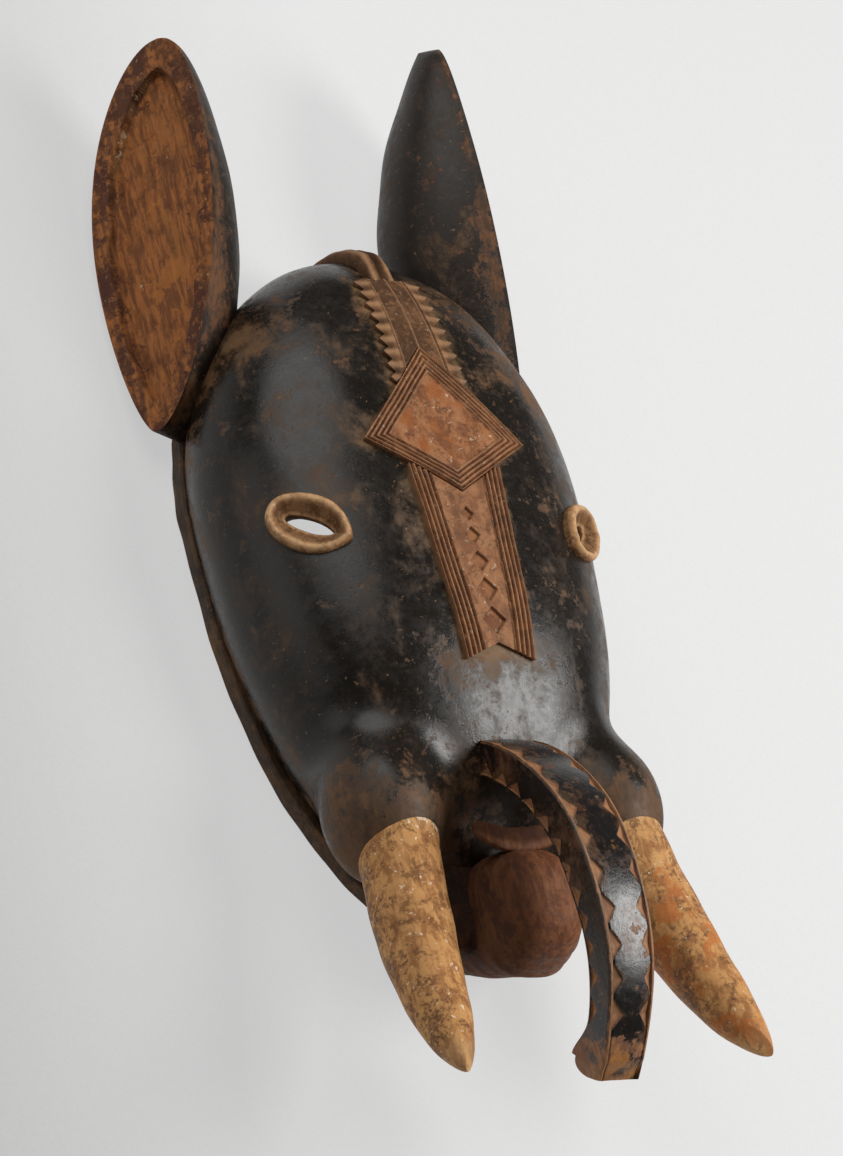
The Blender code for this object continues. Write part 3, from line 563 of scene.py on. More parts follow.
def make_eye_rim(side):
    bpy.ops.object.select_all(action="DESELECT")
    bpy.ops.mesh.primitive_torus_add(
        major_segments=128, minor_segments=28, major_radius=1.0, minor_radius=0.25
    )
    rim = bpy.context.active_object
    rim.name = "eye_rim_right" if side > 0 else "eye_rim_left"
    start = points_of(rim)
    turn = np.arctan2(start[:, 1], start[:, 0])
    out_share = (np.hypot(start[:, 0], start[:, 1]) - 1) / 0.25
    up = start[:, 2] / 0.25
    across = (1 - out_share) / 2
    inset = 11.0 * across
    a, b = almond(turn, 21.5 - 0.84 * inset, 14.5 - inset)
    crest = np.interp(across, (0, 0.05, 0.15, 0.32, 0.42, 0.7, 1.0), (0, 2.4, 3.7, 3.6, 2.7, 0.2, -2.2))
    rise = np.where(up > 0, crest, np.minimum(crest, 0) - 12.0 * np.abs(up))
    rise += (0.12 * np.sin(turn * 9 + 1) + 0.12 * np.sin(turn * 5)) * (up > 0)
    centre, along, short, out = eye_frame(side)
    set_points(rim, centre + np.outer(a, along) + np.outer(b, short) + np.outer(rise, out))
    outwards(rim, 60)
    top = (up > 0) * np.exp(-(((across - 0.24) / 0.16) ** 2))
    lip = (up > 0) * np.exp(-(((across - 0.93) / 0.05) ** 2))
    slope = smooth_step((across - 0.32) / 0.12) * (1 - lip)
    mark(rim, "wear", 0.4 * top + 0.2 * lip)
    mark(rim, "rub", 0.5 * top + 0.45 * lip)
    # deep is painted shade: on the slope down into the eye's opening, on the rim's underside and in the
    # crease at its outer edge.
    mark(rim, "deep", 0.74 * slope + 0.3 * (up <= 0) + 0.5 * smooth_step((0.06 - across) / 0.06))
    finish_piece(rim, EYE_WOOD)


def make_back_rim():
    """The flange at the back: a plate that stands out past the head's foot, its edge uneven."""
    plate = Dome(100.5, 9.4, 206.0, -146.0)
    around, tube_sides = 480, 10

    def shape(ring, column):
        angle = 2 * math.pi * column / around
        profile = np.array(
            ((9, 0.5), (4, 0.4), (0.9, 0), (0, 0.9), (0, 4.5))
            + ((0.2, 8.3), (1.2, 9.3), (4, 9.4), (9, 9.4), (9, 4.0))
        )
        k = np.clip(ring.astype(int) - 1, 0, len(profile) - 1)
        edge = plate.place(angle, np.zeros_like(angle), 0.0)
        wobble = 0.55 * np.sin(7 * angle + 1) + 0.35 * np.sin(17 * angle) + 0.25 * np.sin(41 * angle + 2)
        centre = np.array((0, WIDEST_Y, 0))
        spoke = edge - centre
        inset = profile[k, 0] - wobble * (k > 0) * (k < 8) * 0.9 + 0.6
        placed = centre + spoke * (1 - inset / np.linalg.norm(spoke, axis=-1))[:, None]
        tilt = 0.7 * np.sin(5 * angle + 0.5) + 0.4 * np.sin(13 * angle)
        placed[:, 2] = profile[k, 1] * (1 + 0.1 * tilt * (profile[k, 1] > 1))
        return placed

    bpy.ops.object.select_all(action="DESELECT")
    bpy.ops.mesh.primitive_torus_add(
        major_segments=around, minor_segments=tube_sides, major_radius=1, minor_radius=0.2
    )
    rim = bpy.context.active_object
    rim.name = "back_rim"
    start = points_of(rim)
    column = np.rint(np.arctan2(start[:, 1], start[:, 0]) / (2 * math.pi) * around) % around
    tube = np.arctan2(start[:, 2], np.hypot(start[:, 0], start[:, 1]) - 1)
    ring = np.rint((tube / (2 * math.pi)) * tube_sides) % tube_sides
    set_points(rim, shape((ring + 3) % tube_sides + 1, column))
    outwards(rim, 35)
    place = carver_points(rim)
    mark(rim, "wear", np.full(len(place), 0.15))
    mark(rim, "dust", np.full(len(place), 0.2))
    finish_piece(rim, RIM_WOOD)


TUSK_ROOT_X, TUSK_ROOT_Y, TUSK_ROOT_Z = 59, -92, 61
TUSK_SPREAD, TUSK_LENGTH, TUSK_RISE = 23.5, 149, 40
TUSK_RADIUS = 19


def tusk_centre(share, side):
    across = side * (TUSK_ROOT_X + TUSK_SPREAD * share)
    lift = TUSK_ROOT_Z + TUSK_RISE * np.clip(share, 0, None) ** 2.2
    return np.stack((across, TUSK_ROOT_Y - TUSK_LENGTH * share, lift), -1)


def tusk_share(ring, rings):
    """Where along the tusk a ring lies; the root starts inside the socket."""
    return -0.035 + 1.035 * np.sin(math.pi / 2 * ring / rings)


def make_tusk(side):
    rings, around = 170, 72

    def shape(ring, column):
        share = tusk_share(ring, rings)
        turn = 2 * math.pi * column / around
        centre = tusk_centre(share, side)
        along = unit(tusk_centre(share + 0.01, side) - centre)
        across = unit(np.cross(along, np.array((0, 0, 1.0))))
        lift = np.cross(across, along)
        lumps = 0.2 * np.sin(share * 19 + 2 * turn) + 0.15 * np.sin(share * 37 - turn + side)
        along_tusk = np.clip(share, 0, 1)
        radius = TUSK_RADIUS * np.clip(1 - along_tusk**3.2, 0, 1) ** 0.62
        radius = radius + lumps * np.clip(8 * (1 - along_tusk), 0, 1)
        radius = radius * np.clip(1 - (np.clip(0.13 - share, 0, 1) / 0.165) ** 2, 0, 1) ** 0.5
        radius = np.where(ring == 0, 0, radius)
        spoke = across * np.cos(turn)[:, None] + lift * np.sin(turn)[:, None]
        placed = centre + spoke * np.clip(radius, 0, None)[:, None]
        facet = np.array((-side * 0.62, -0.30, 0.72))
        facet /= np.linalg.norm(facet)
        through = tusk_centre(np.array([0.955]), side)[0] + facet * 3.2
        over = np.clip((placed - through) @ facet, 0, None)
        return placed - facet * over[:, None]

    name = "tusk_right" if side > 0 else "tusk_left"
    tusk, ring, column = pressed_ball(name, around, rings, shape, 28)
    place = carver_points(tusk)
    share = tusk_share(ring, rings)
    root = np.exp(-(((share - 0.13) / 0.04) ** 2))
    turn = 2 * math.pi * column / around
    crust = root * (0.5 + 0.5 * np.sin(7 * turn + 90 * share)) * (side < 0)
    tip = smooth_step((share - 0.9) / 0.05)
    middle = tusk_centre(np.clip(share, 0, 1), side)
    above = np.clip((place[:, 2] - middle[:, 2]) / TUSK_RADIUS, -1, 1)
    # The above term makes the tusk lighter towards its upper side.
    mark(tusk, "wear", 0.02 + 0.3 * tip + 0.16 * above + 0.1 * crust)
    mark(tusk, "dust", 0.6 * root + (0.3 if side > 0 else 0.05) * (share < 0.35))
    mark(tusk, "rub", 0.35 * tip + 0.3 * crust)
    mark(tusk, "crust", 0.5 * root * (side < 0) + 0.5 * crust)
    bare = 0.35 * tip if side < 0 else 0.5 * smooth_step((share - 0.25) / 0.2)
    mark(tusk, "bare", bare)
    finish_piece(tusk, TUSK_WOOD)


TRUNK_ARCH = 107
TRUNK_START, TRUNK_SWEEP = math.radians(20), math.radians(119)
TRUNK_ROOT_Y, TRUNK_ROOT_Z = -65.5, 61


def trunk_spot(share, inward, x):
    turn = TRUNK_START + TRUNK_SWEEP * share
    reach = TRUNK_ARCH - inward
    middle_y = TRUNK_ROOT_Y - TRUNK_ARCH * math.cos(TRUNK_START)
    middle_z = TRUNK_ROOT_Z - TRUNK_ARCH * math.sin(TRUNK_START)
    return np.stack((x, middle_y + reach * np.cos(turn), middle_z + reach * np.sin(turn)), -1)


def chip_depth(share, gap, count, start, end, width):
    """How far into a triangular chip a point is: its base is on the edge, its point inwards."""
    step = (end - start) / (count - 1)
    nearest = np.clip(np.rint((share - start) / step), 0, count - 1)
    jitter = 0.08 * np.sin(nearest * 7.3 + count)
    off = np.abs((share - start) / step - nearest - jitter) / 0.46
    reach = width * (1 + 0.12 * np.sin(nearest * 4.1 + 1)) * np.clip(1 - off, 0, 1)
    inside = smooth_step((reach - gap) / 0.7) * (gap > 0)
    slope = np.clip((reach - gap) / width, 0, 1)
    return inside, inside * (0.7 + 0.9 * slope)


TRUNK_RINGS = 380
FRONT_CHIPS = (12, 0.045, 0.865)
SIDE_CHIPS = (13, 0.04, 0.86)
CHIP_WIDTH = 5.2
FRONT_BORDER, SIDE_BORDER = 1.7, 0.8


def make_trunk():
    columns = (66, 46, 26, 46)
    starts = np.cumsum((0,) + columns)

    def layout(ring, column):
        share = np.clip((ring - 1) / (TRUNK_RINGS - 2), 0, 1)
        half = (31 + (21 - 31) * share**1.5) / 2
        body = np.interp(share, (0, 0.3, 0.55, 0.85, 1), (15, 17.5, 18.5, 15.5, 15.5))
        spur = 8.5 * smooth_step((share - 0.87) / 0.085) ** 1.5
        end = np.clip((share - 0.96) / 0.04, 0, 1)
        deep = np.where(share > 0.957, 3.5 + 17.5 * np.sqrt(1 - end**2), body + spur)
        face = np.searchsorted(starts, column, side="right") - 1
        along = (column - starts[face]) / np.array(columns)[face]
        return share, half, deep, face, along

    def shape(ring, column):
        share, half, deep, face, along = layout(ring, column)
        corner = 1.3
        x = np.select(
            (face == 0, face == 1, face == 2),
            (-half + 2 * half * along, half, half - 2 * half * along),
            -half,
        )
        inward = np.select(
            (face == 0, face == 1, face == 2), (0 * along, deep * along, deep), deep * (1 - along)
        )
        gap = np.where(face == 0, half - np.abs(x), 0)
        _, cut = chip_depth(share, gap - FRONT_BORDER, *FRONT_CHIPS, CHIP_WIDTH)
        bead = np.clip(1 - np.abs(gap - 0.9) / 0.9, 0, 1) * (face == 0)
        groove = np.clip(1 - np.abs(gap - 1.9) / 0.5, 0, 1) * (face == 0)
        inward = inward + cut - 0.3 * bead + 0.5 * groove * (cut < 0.05)
        inward = inward + 1.6 * smooth_step((share - 0.955) / 0.03) * (face == 0)
        inward -= 0.9 * (1 - (x / half) ** 2) * (face == 0)
        side_gap = np.where((face == 1) | (face == 3), deep - inward, -1)
        _, side_cut = chip_depth(share, side_gap - SIDE_BORDER, *SIDE_CHIPS, CHIP_WIDTH)
        x = x - np.sign(x) * side_cut * ((face == 1) | (face == 3))
        rounding = np.clip(corner - np.abs(inward), 0, None) * ((face == 1) | (face == 3))
        x = x - np.sign(x) * 0.35 * rounding
        centre = (ring == 0) | (ring == TRUNK_RINGS)
        x = np.where(centre, 0, x)
        inward = np.where(centre, deep / 2, inward)
        lag = 0.03 * smooth_step((share - 0.84) / 0.16) * inward / 16
        placed = trunk_spot(share + lag, inward, x)
        placed[:, 0] += 0.35 * np.sin(share * 19)
        return placed

    trunk, ring, column = pressed_ball("trunk", int(starts[-1]), TRUNK_RINGS, shape, 30)
    share, half, deep, face, along = layout(ring, column)
    x = np.where(face == 0, -half + 2 * half * along, half)
    gap = half - np.abs(x)
    chips, depth = chip_depth(share, gap - FRONT_BORDER, *FRONT_CHIPS, CHIP_WIDTH)
    side_gap = np.where(face == 1, deep * (1 - along), deep * along)
    side_chips, _ = chip_depth(share, side_gap - SIDE_BORDER, *SIDE_CHIPS, CHIP_WIDTH)
    edge = np.clip(1 - np.abs(gap - 0.8) / 0.9, 0, 1) * (face == 0)
    front_gap = np.where(face == 1, deep * along, np.where(face == 3, deep * (1 - along), 9))
    corner = np.clip(1 - front_gap / 1.4, 0, 1)
    tip = 1.1 * smooth_step((share - 0.88) / 0.06)
    wear = np.where(face == 0, chips, np.where(face == 2, 0.3, side_chips))
    # wall, groove and shaded feed the deep mark, which is painted shade: on the chips' walls, in the
    # groove inside the front bead, on the back face and a little on the left side.
    wall = np.where(face == 0, 4 * chips * (1 - chips), 2.5 * side_chips * (1 - side_chips))
    groove = np.clip(1 - np.abs(gap - 1.75) / 0.5, 0, 1) * (face == 0)
    mark(trunk, "wear", np.maximum(np.maximum(wear, 0.7 * edge), np.maximum(0.6 * corner, 0.42 * tip)))
    mark(trunk, "dust", 0.2 * edge + 0.15 * wear + 0.3 * np.exp(-share / 0.05))
    end = 0.3 * smooth_step((share - 0.955) / 0.02)
    mark(trunk, "rub", 0.45 * edge + 0.3 * corner + 0.25 * wear * (depth > 1.2) + 0.2 * side_chips + end)
    shaded = 0.12 * (face == 3) * (1 - side_chips) + 0.45 * (face == 2)
    mark(trunk, "deep", 0.75 * np.clip(wall, 0, 1) + 0.6 * groove + shaded)
    mark(trunk, "bare", 0.64 * smooth_step((share - 0.87) / 0.09) - 0.2 * (face == 3))
    finish_piece(trunk, TRUNK_PAINT)


EAR_AROUND, EAR_FACE, EAR_RINGS = 200, 120, 190


def make_ear(side):
    if side < 0:
        bottom, tip, thickness = np.array((-110.5, 118, 16.5)), np.array((-87, 315, 62.5)), 49
    else:
        bottom, tip, thickness = np.array((103, 122, 16.5)), np.array((80, 327, 62.5)), 53
    along = tip - bottom
    lean = math.radians(26 if side < 0 else 20)
    out = np.array((side * math.cos(lean), 0, math.sin(lean)))
    out = out - along * (out @ along) / (along @ along)
    out /= np.linalg.norm(out)
    front = np.array((0, 0, 1.0)) - out * out[2]
    front = front - along * (front @ along) / (along @ along)
    front /= np.linalg.norm(front)

    def layout(ring, column):
        share = (1 - np.cos(math.pi * ring / EAR_RINGS)) / 2
        face = column < EAR_FACE
        across = 1 - 2 * column / EAR_FACE
        turn = math.pi * (column - EAR_FACE) / (EAR_AROUND - EAR_FACE)
        reach = 0.76 * np.clip(1 - (np.abs(share - 0.5) / 0.42) ** 4, 0, 1) ** 0.5
        reach = reach * (1 + 0.03 * np.sin(share * 31) + 0.02 * np.sin(share * 67))
        inside = smooth_step((reach - np.abs(across)) / 0.075)
        return share, face, across, turn, inside

    def shape(ring, column):
        share, face, across, turn, inside = layout(ring, column)
        bow = np.clip(np.sin(math.pi * share), 0, 1)
        ahead = 33.5 * bow ** (0.55 - 0.1 * smooth_step((share - 0.7) / 0.3))
        behind = 39.5 * np.clip(np.sin(math.pi * share**1.357), 0, 1) ** 0.5
        deep = 1 - (np.clip(share - 0.4, 0, 1) / 0.66) ** 2
        gouges = 0.25 * np.sin(across * 23 + 5 * np.sin(share * 9)) + 0.2 * np.sin(share * 57 + across * 5)
        a = np.where(face, np.where(across > 0, across * ahead, across * behind), 0)
        middle, half = (ahead - behind) / 2, (ahead + behind) / 2
        a = np.where(face, a, middle - half * np.cos(turn))
        d_face = inside * (4.3 + gouges) - 0.5 * (1 - np.abs(across)) * (1 - inside)
        d_back = thickness * deep * np.clip(np.sin(turn), 0, 1) ** 0.8
        d_back += 0.4 * np.sin(share * 29 + turn * 3) * np.sin(turn)
        d = np.where(face, d_face, d_back)
        pole = (ring == 0) | (ring == EAR_RINGS)
        a = np.where(pole, 0, a)
        d = np.where(pole, thickness * deep / 2, d)
        placed = bottom + np.outer(share, along) + np.outer(a, front) - np.outer(d, out)
        placed[:, 2] = np.maximum(placed[:, 2], 0.3)
        return placed

    name = "ear_right" if side > 0 else "ear_left"
    ear, ring, column = pressed_ball(name, EAR_AROUND, EAR_RINGS, shape, 40)
    share, face, across, turn, inside = layout(ring, column)
    lower = np.exp(-(((share - 0.36) / 0.2) ** 2) - (across / 0.45) ** 2) * face
    crust = np.exp(-(((inside - 0.5) / 0.3) ** 2)) * face * smooth_step((share - 0.6) / 0.15)
    edge = np.clip(1 - (1 - np.abs(across)) * 14, 0, 1) * face
    back_edge = np.exp(-turn / 0.12) + np.exp(-(math.pi - turn) / 0.12)
    mark(ear, "wear", np.where(face, 0.16 * inside + 0.34 * lower + 0.1 * edge, 0.4 * back_edge))
    mark(ear, "dust", np.where(face, 0.7 * crust + 0.2 * lower, 0.25 * back_edge))
    mark(ear, "rub", np.where(face, 0.9 * crust * smooth_step(np.sin(share * 83 + across * 9) + 0.6), 0))
    # wall is painted shade on the wall around the ear's sunken face.
    wall = 4 * inside * (1 - inside) * face * (1 - crust)
    mark(ear, "deep", 0.4 * wall)
    mark(ear, "bare", 0.75 * lower * inside)
    mark(ear, "crust", np.where(face, 0.9 * crust, 0))
    finish_piece(ear, EAR_FACE_WOOD)
    ear.data.materials.append(EAR_BACK_PAINT)
    slots = np.zeros(len(ear.data.polygons), np.int32)
    corners = (polygon.vertices[:] for polygon in ear.data.polygons)
    corners = np.array([each + (-1,) * (4 - len(each)) for each in corners])
    columns = np.where(corners >= 0, column[corners], EAR_FACE)
    slots[columns.max(axis=1) > EAR_FACE] = 1
    ear.data.polygons.foreach_set("material_index", slots)


def make_diamond():
    pitch, ribbed = 2.2, 8.8
    half, side_y = KITE_HALF, KITE_WIDE_Y
    corners = np.array(((0, KITE_FOOT_Y), (half, side_y), (0, KITE_TOP_Y), (-half, side_y)), float)

    def flat(u, v):
        weights = ((1 - u) * (1 - v), u * (1 - v), u * v, (1 - u) * v)
        return sum(w[:, None] * corner for w, corner in zip(weights, corners))

    def ridges(inset):
        wave = 0.5 - 0.5 * np.cos(2 * math.pi * np.clip(inset, 0, ribbed) / pitch)
        groove = np.clip(wave, 0, 1) ** 1.2
        panel = smooth_step((inset - 8.9) / 0.8)
        return 2.9 - 1.25 * groove * (inset < ribbed) - 1.0 * panel, groove * (inset < ribbed), panel

    def shape(u, v, top):
        spot = flat(u, v)
        x, y = spot[:, 0], spot[:, 1]
        inset = kite_inset(x, y)
        rise, _, panel = ridges(inset + 0.09 * np.sin(x / 5.1 + y / 6.7))
        rise = rise + panel * (0.16 * np.sin(x / 2.3) * np.sin(y / 3.1) + 0.12 * np.sin(x / 5 + y / 2))
        return on_head(x, y, np.where(top, rise, -2.5))

    diamond, u, v, top = pressed_slab("forehead_diamond", 150, 150, shape, 55)
    spot = flat(u, v)
    inset = kite_inset(spot[:, 0], spot[:, 1])
    _, groove, panel = ridges(inset + 0.09 * np.sin(spot[:, 0] / 5.1 + spot[:, 1] / 6.7))
    line = 4 * panel * (1 - panel)
    mark(diamond, "wear", np.where(top, 0.14 - 0.2 * groove, 0))
    mark(diamond, "dust", np.where(top, 0.12 * panel, 0.3))
    mark(diamond, "rub", np.where(top, 0.5 * (1 - groove) ** 3 * (1 - panel), 0))
    # deep is painted shade: in the grooves between the ridges, along the panel's edge and on the slab's
    # sides.
    mark(diamond, "deep", np.where(top, 0.72 * groove**1.3 + 0.3 * line, 0.55))
    mark(diamond, "bare", np.where(top, 0.42 * panel, 0))
    finish_piece(diamond, RELIEF_WOOD)


def make_lower_band():
    pitch, ribbed = 2.6, 10.4

    def flat(u, v):
        across = 2 * u - 1
        half = BAND_TOP_HALF + (BAND_END_HALF - BAND_TOP_HALF) * v
        end = BAND_END_Y + 8 * (1 - np.abs(across))
        return across * half, BAND_TOP_Y + (end - BAND_TOP_Y) * v, half

    def carve(x, y, half):
        inset = half - np.abs(x)
        rib = 0.5 - 0.5 * np.cos(2 * math.pi * np.clip(inset, 0, ribbed) / pitch)
        in_ribs = inset < ribbed
        lozenge = np.zeros_like(x)
        for i in range(5):
            share = i / 4
            centre = 38 - 55.5 * share**1.15
            size = 8 + 6.5 * share
            off = 1 - np.abs(x) / (0.46 * size) - np.abs(y - centre) / (0.5 * size)
            lozenge = np.maximum(lozenge, smooth_step(off * size * 0.33 / 0.6))
        return rib * in_ribs, in_ribs, lozenge

    def shape(u, v, top):
        x, y, half = flat(u, v)
        rib, in_ribs, lozenge = carve(x, y, half)
        rise = 2.7 - 1.5 * rib**1.2 - 0.75 * ~in_ribs - 1.6 * lozenge
        rise += 0.1 * np.sin(y / 3.3 + x) * in_ribs - 3.0 * smooth_step(kite_inset(x, y) + 0.5)
        return on_head(x, y, np.where(top, rise, -2.5))

    band, u, v, top = pressed_slab("lower_band", 118, 210, shape, 55)
    x, y, half = flat(u, v)
    rib, in_ribs, lozenge = carve(x, y, half)
    wall = 4 * lozenge * (1 - lozenge)
    mark(band, "wear", np.where(top, 0.12 - 0.1 * rib + 0.3 * lozenge, 0))
    mark(band, "dust", np.where(top, 0.22 * ~in_ribs * (1 - lozenge), 0.2))
    mark(band, "rub", np.where(top, 0.5 * (1 - rib) ** 3 * in_ribs + 0.15 * ~in_ribs * (1 - lozenge), 0))
    # deep is painted shade in the rib grooves and on the lozenges' walls; it also darkens the flat middle
    # strip slightly and the slab's sides.
    mark(band, "deep", np.where(top, 0.7 * rib**1.3 + 0.6 * wall + 0.12 * ~in_ribs, 0.6))
    finish_piece(band, RELIEF_WOOD)


def make_upper_band():
    teeth, inner_share = 9, 0.68

    def flat(u, v):
        across = 2 * u - 1
        y = PLAIT_TOP_Y - (PLAIT_TOP_Y - PLAIT_END_Y) * v
        half = plait_half_width(y)
        saw = 1 - np.abs(2 * (v * teeth - np.floor(v * teeth)) - 1)
        return across * (half + 0.3 + 4.3 * saw), y, half, saw

    def carve(x, y, half):
        inner = inner_share * half
        middle = np.clip(1 - np.abs(x) / 0.75, 0, 1)
        border = np.clip(1 - np.abs(np.abs(x) - inner) / 0.6, 0, 1)
        outer = np.abs(x) > inner + 0.9
        return middle, border, outer

    def shape(u, v, top):
        x, y, half, saw = flat(u, v)
        middle, border, outer = carve(x, y, half)
        facet = 2.0 + 0.5 * (1 - np.abs(x) / (inner_share * half)) * ~outer
        rise = facet + 0.55 * middle + 0.5 * border
        share = np.clip((np.abs(x) - inner_share * half - 0.9) / (0.32 * half - 0.6), 0, 1)
        rise = np.where(outer, 2.7 - 1.3 * (1 - saw) * share, rise)
        rise = rise - 3.2 * smooth_step(kite_inset(x, y) + 0.5)
        return on_head(x, y, np.where(top, rise, -2.5))

    band, u, v, top = pressed_slab("upper_band", 96, teeth * 18, shape, 35)
    x, y, half, saw = flat(u, v)
    middle, border, outer = carve(x, y, half)
    step = np.clip(1 - np.abs(np.abs(x) - inner_share * half - 1.1) / 0.5, 0, 1)
    valley = outer * (1 - saw) * np.clip((np.abs(x) - inner_share * half - 1.5) / 3, 0, 1)
    mark(band, "wear", np.where(top, 0.3 * outer + 0.3 * (middle + border), 0.1))
    mark(band, "dust", np.where(top, 0.15 * outer, 0.2))
    tooth = outer * smooth_step((saw - 0.25) / 0.5)
    mark(band, "rub", np.where(top, 0.7 * (middle + border) + 0.5 * tooth, 0))
    # deep is painted shade: along the step at the inner border, in the valleys between the teeth, lightly
    # over the inner field and on the slab's sides.
    mark(band, "deep", np.where(top, 0.6 * step + 0.7 * valley + 0.15 * (1 - outer) * (1 - middle), 0.55))
    finish_piece(band, BAND_WOOD)


def make_crest():
    rings, around = 140, 96

    def shape(ring, column):
        sweep = np.clip((ring - 1) / (rings - 2), 0, 1)
        y = 172 + 35 * np.sin(math.pi / 2 * sweep) * 0.998
        rise = 9 * np.minimum(1.0, 0.1 + 3 * sweep) * (1 - 0.4 * sweep)
        out = head_normal(np.zeros_like(y), y)
        foot = np.stack((np.zeros_like(y), y, HEAD.height_at(np.zeros_like(y), y)), -1)
        turn = 2 * math.pi * column / around
        x = 7.0 * np.sign(np.cos(turn)) * np.abs(np.cos(turn)) ** 0.55
        up = np.where(np.sin(turn) > 0, np.abs(np.sin(turn)) ** 0.5, -np.abs(np.sin(turn)))
        valley = np.clip(1 - np.abs(x) / 1.7, 0, 1)
        notch = 0.35 * np.sin(sweep * 40)
        lift = np.where(up > 0, up * (rise - np.minimum(3.4, 0.5 * rise) * valley + notch * 0.4), up * 4)
        placed = foot + out * lift[:, None]
        placed[:, 0] += x
        pole = (ring == 0) | (ring == rings)
        placed[pole] = (foot + out * 1.0)[pole]
        return placed

    crest, ring, column = pressed_ball("crest", around, rings, shape, 45)
    up = np.sin(2 * math.pi * column / around)
    ridge = smooth_step((up - 0.55) / 0.25) * smooth_step((0.97 - up) / 0.05)
    mark(crest, "wear", 0.1 + 0.25 * ridge)
    mark(crest, "dust", 0.1 + 0.15 * np.clip(up, 0, 1))
    mark(crest, "rub", 0.55 * ridge)
    # deep is painted shade on the crest's lower sides and in the valley along its top.
    mark(crest, "deep", 0.5 * (1 - np.clip(up, 0, 1)) + 0.8 * smooth_step((up - 0.975) / 0.02))
    finish_piece(crest, BAND_WOOD)


def soft_block(name, low, high, power, around, rings, change, sharp=50):
    """A block with well rounded sides and corners, pressed out of a ball."""
    low, high = np.array(low, float), np.array(high, float)

    def shape(ring, column):
        lat, lon = math.pi * ring / rings, 2 * math.pi * column / around
        ball = np.stack((np.sin(lat) * np.cos(lon), np.sin(lat) * np.sin(lon), np.cos(lat)), -1)
        reach = np.sum(np.abs(ball) ** power, axis=-1, keepdims=True) ** (1 / power)
        return change((low + high) / 2 + ball / reach * (high - low) / 2)

    return pressed_ball(name, around, rings, shape, sharp)[0]


def make_jaw():
    def rake(points):
        below = np.clip(42 - points[:, 2], 0, None)
        ahead = points[:, 1] < -137
        points[:, 1] += below * 0.5 * ahead
        x, z = points[:, 0], points[:, 2]
        bitten = 1.5 * (np.sin(x / 3.7) > 0.2) + 1.1 * (np.sin(x / 1.9 + 1) > 0.5)
        slot = 4.0 * np.exp(-(((x + 1.0) / 1.3) ** 2))
        points[:, 1] += (bitten + slot) * smooth_step((-152 - points[:, 1]) / 10)
        rough = 0.5 * np.sin(x / 2.3 + z / 4.1) + 0.4 * np.sin(z / 1.9 - x / 5.0)
        points[:, 1] += rough * smooth_step((z - 20) / 10)
        points[:, 2] = np.maximum(points[:, 2], 0.0)
        return points

    jaw = soft_block("jaw", (-44, -168, -24), (42, -100, 46), 5.0, 200, 140, rake)
    place = carver_points(jaw)
    brim = smooth_step((-160 - place[:, 1]) / 4)
    mark(jaw, "wear", 0.2 * brim)
    mark(jaw, "dust", np.full(len(place), 0.02))
    # deep is painted shade over the jaw, strongest behind its front brim.
    mark(jaw, "deep", 0.5 * (1 - brim) + 0.3)
    finish_piece(jaw, MOUTH_WOOD)


def make_lower_lip():
    def lip_form(points):
        x = points[:, 0]
        below = np.clip(48 - points[:, 2], 0, None)
        points[:, 1] += below * 0.42 * (points[:, 1] < -140)
        scratch = 0.25 * np.sin(points[:, 2] / 1.3 + 0.3 * np.sin(x / 2))
        scratch += 0.35 * np.sin(points[:, 2] / 4.7 + x / 9)
        points[:, 1] += scratch * smooth_step((-140 - points[:, 1]) / 8)
        points[:, 2] = np.maximum(points[:, 2], 0.0)
        return points

    lip = soft_block("lower_lip", (-21, -179, -24), (27, -118, 80), 3.0, 160, 140, lip_form)
    place = carver_points(lip)
    # lit paints light on the right side through wear and bare, and deep paints painted shade on the left
    # side.
    lit = smooth_step((place[:, 0] - 4) / 14)
    mark(lip, "wear", 0.1 + 0.35 * lit)
    mark(lip, "dust", np.full(len(place), 0.03))
    mark(lip, "deep", 0.68 * smooth_step((5 - place[:, 0]) / 18))
    mark(lip, "bare", 0.45 * lit)
    finish_piece(lip, LIP_WOOD)


def make_upper_lip():
    """The thin bar over the mouth, bowed back at its two ends."""
    bow = 0.010

    def bar_form(points):
        points[:, 2] += 0.5 * np.sin(points[:, 0] / 4.3)
        points[:, 1] += bow * points[:, 0] ** 2
        return points

    bar = soft_block("upper_lip", (-25, -125, 66), (25, -113, 70.5), 3.5, 120, 60, bar_form)
    place = carver_points(bar)
    brim = smooth_step((-119 - place[:, 1] + bow * place[:, 0] ** 2) / 4)
    # brim: the bar's front edge gets wear and dust, partly painted light; deep is painted shade behind the
    # brim.
    mark(bar, "wear", 0.3 * brim)
    mark(bar, "dust", 0.1 * brim)
    mark(bar, "deep", 0.3 + 0.6 * (1 - brim))
    finish_piece(bar, LIP_WOOD)


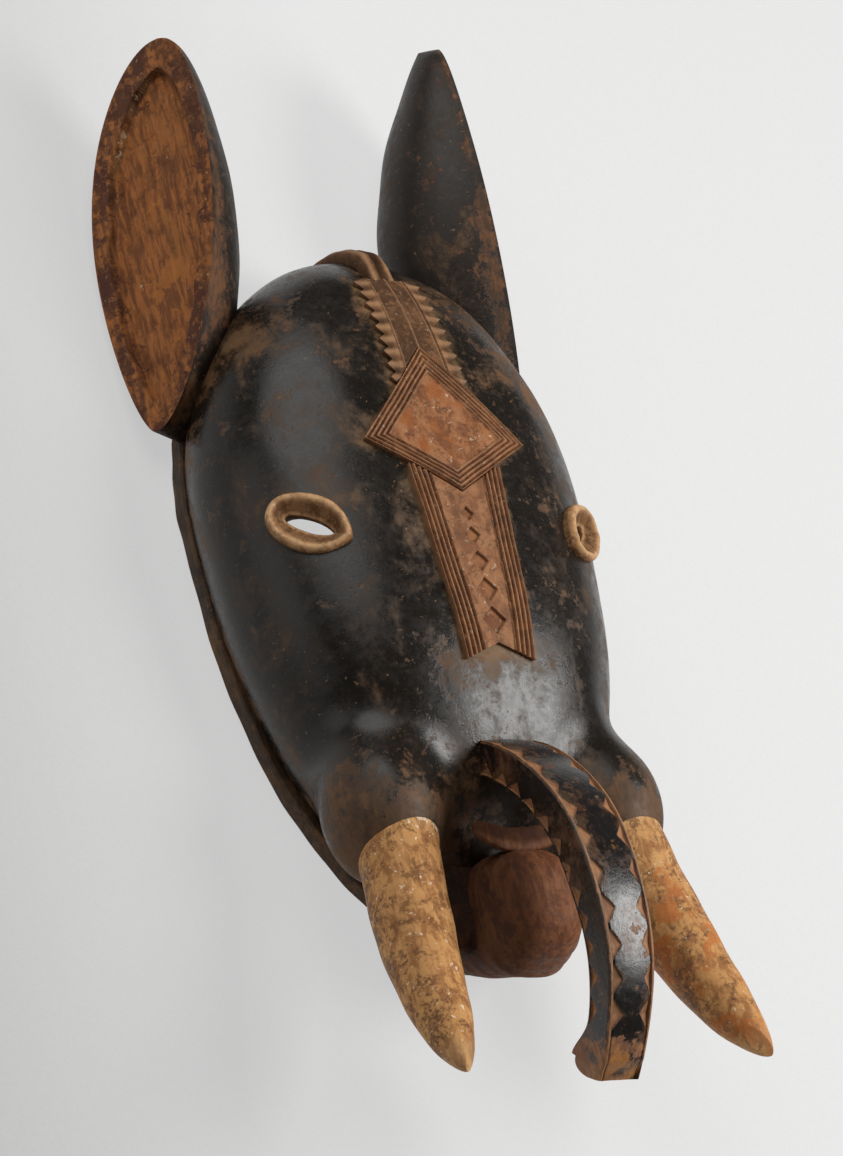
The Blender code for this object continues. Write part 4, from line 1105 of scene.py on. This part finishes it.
def make_camera():
    scale, away, aim_height = 0.00047, 4000, 165
    photo_width, photo_height = 843, 1156
    middle_x, middle_y = 470, 600
    turn, lift, roll = math.radians(33), math.radians(28), math.radians(-1.7)
    side = Vector((math.cos(turn), -math.sin(turn) * math.sin(lift), math.sin(turn) * math.cos(lift)))
    rise = Vector((0, math.cos(lift), math.sin(lift)))
    back = side.cross(rise)
    right = math.cos(roll) * side - math.sin(roll) * rise
    up = math.sin(roll) * side + math.cos(roll) * rise
    spot = back * away - right * (middle_x - photo_width / 2) + up * (middle_y - photo_height / 2)
    spot = Vector((spot.x * scale, spot.y * scale, (spot.z + aim_height) * scale))
    spot = spot + Vector(MIDDLE * MM)
    lens = bpy.data.cameras.new("camera")
    lens.sensor_fit = "VERTICAL"
    lens.sensor_height = 36
    lens.lens = 36 * away / photo_height
    lens.clip_end = 50
    camera = bpy.data.objects.new("camera", lens)
    bpy.context.collection.objects.link(camera)
    basis = Matrix((right, up, back)).transposed().to_4x4()
    basis.translation = spot
    camera.matrix_world = basis
    bpy.context.scene.camera = camera
    return right, up, back


def add_light(name, spot, aim, size, power, colour):
    lamp = bpy.data.lights.new(name, "AREA")
    lamp.shape = "DISK"
    lamp.size = size
    lamp.energy = power
    lamp.color = colour
    light = bpy.data.objects.new(name, lamp)
    bpy.context.collection.objects.link(light)
    light.location = spot
    light.rotation_euler = (aim - spot).to_track_quat("-Z", "Y").to_euler()


def make_studio(right, up, back):
    bpy.ops.object.select_all(action="DESELECT")
    bpy.ops.mesh.primitive_grid_add(x_subdivisions=8, y_subdivisions=8, size=8, location=(0, 0, -0.0005))
    floor = bpy.context.active_object
    floor.name = "studio_floor"
    bpy.ops.object.transform_apply(location=True, rotation=False, scale=False)
    r = Recipe("studio_paper")
    weave = r.noise(900.0, 2.0, 0.5)
    tone = r.between(weave, 0.3, 0.7)
    r.link(r.mix(tone, rgb(106, 106, 106), rgb(112, 112, 112)), r.shader.inputs["Base Color"])
    r.shader.inputs["Roughness"].default_value = 0.9
    parts = r.node("ShaderNodeSeparateXYZ")
    r.link(r.place, parts.inputs[0])
    # The floor glows as painted light, dimmer towards the left as a painted shade.
    r.shader.inputs["Emission Color"].default_value = (1, 1, 1, 1)
    r.link(r.between(parts.outputs[0], -0.42, 0.1, 0.32, 0.61), r.shader.inputs["Emission Strength"])
    r.link(r.bump(weave, 0.0002, 0.2), r.shader.inputs["Normal"])
    floor.data.materials.append(r.material)

    world = bpy.data.worlds.new("studio")
    bpy.context.scene.world = world
    world.use_nodes = True
    sky = world.node_tree.nodes["Background"]
    sky.inputs["Color"].default_value = (1.0, 1.0, 1.0, 1.0)
    sky.inputs["Strength"].default_value = 0.1
    aim = Vector((0, 0, 0.05))
    add_light("side_softbox", aim + right * 1.35 + up * 0.3 + back * 0.45, aim, 0.8, 21, (1.0, 0.99, 0.97))
    add_light("top_softbox", aim - right * 0.1 + up * 1.4 + back * 0.8, aim, 1.5, 15, (1.0, 0.99, 0.97))
    add_light("fill_softbox", aim - right * 1.2 + up * 0.5 + back * 0.9, aim, 1.1, 3.0, (1.0, 0.98, 0.95))
    view = bpy.context.scene.view_settings
    view.view_transform = "Standard"
    view.look = "None"


right, up, back = make_camera()
make_studio(right, up, back)
make_skull()
make_back_rim()
make_jaw()
make_lower_lip()
make_upper_lip()
make_trunk()
make_crest()
make_diamond()
make_lower_band()
make_upper_band()
for side in (-1, 1):
    make_ear(side)
    make_tusk(side)
    make_eye_rim(side)
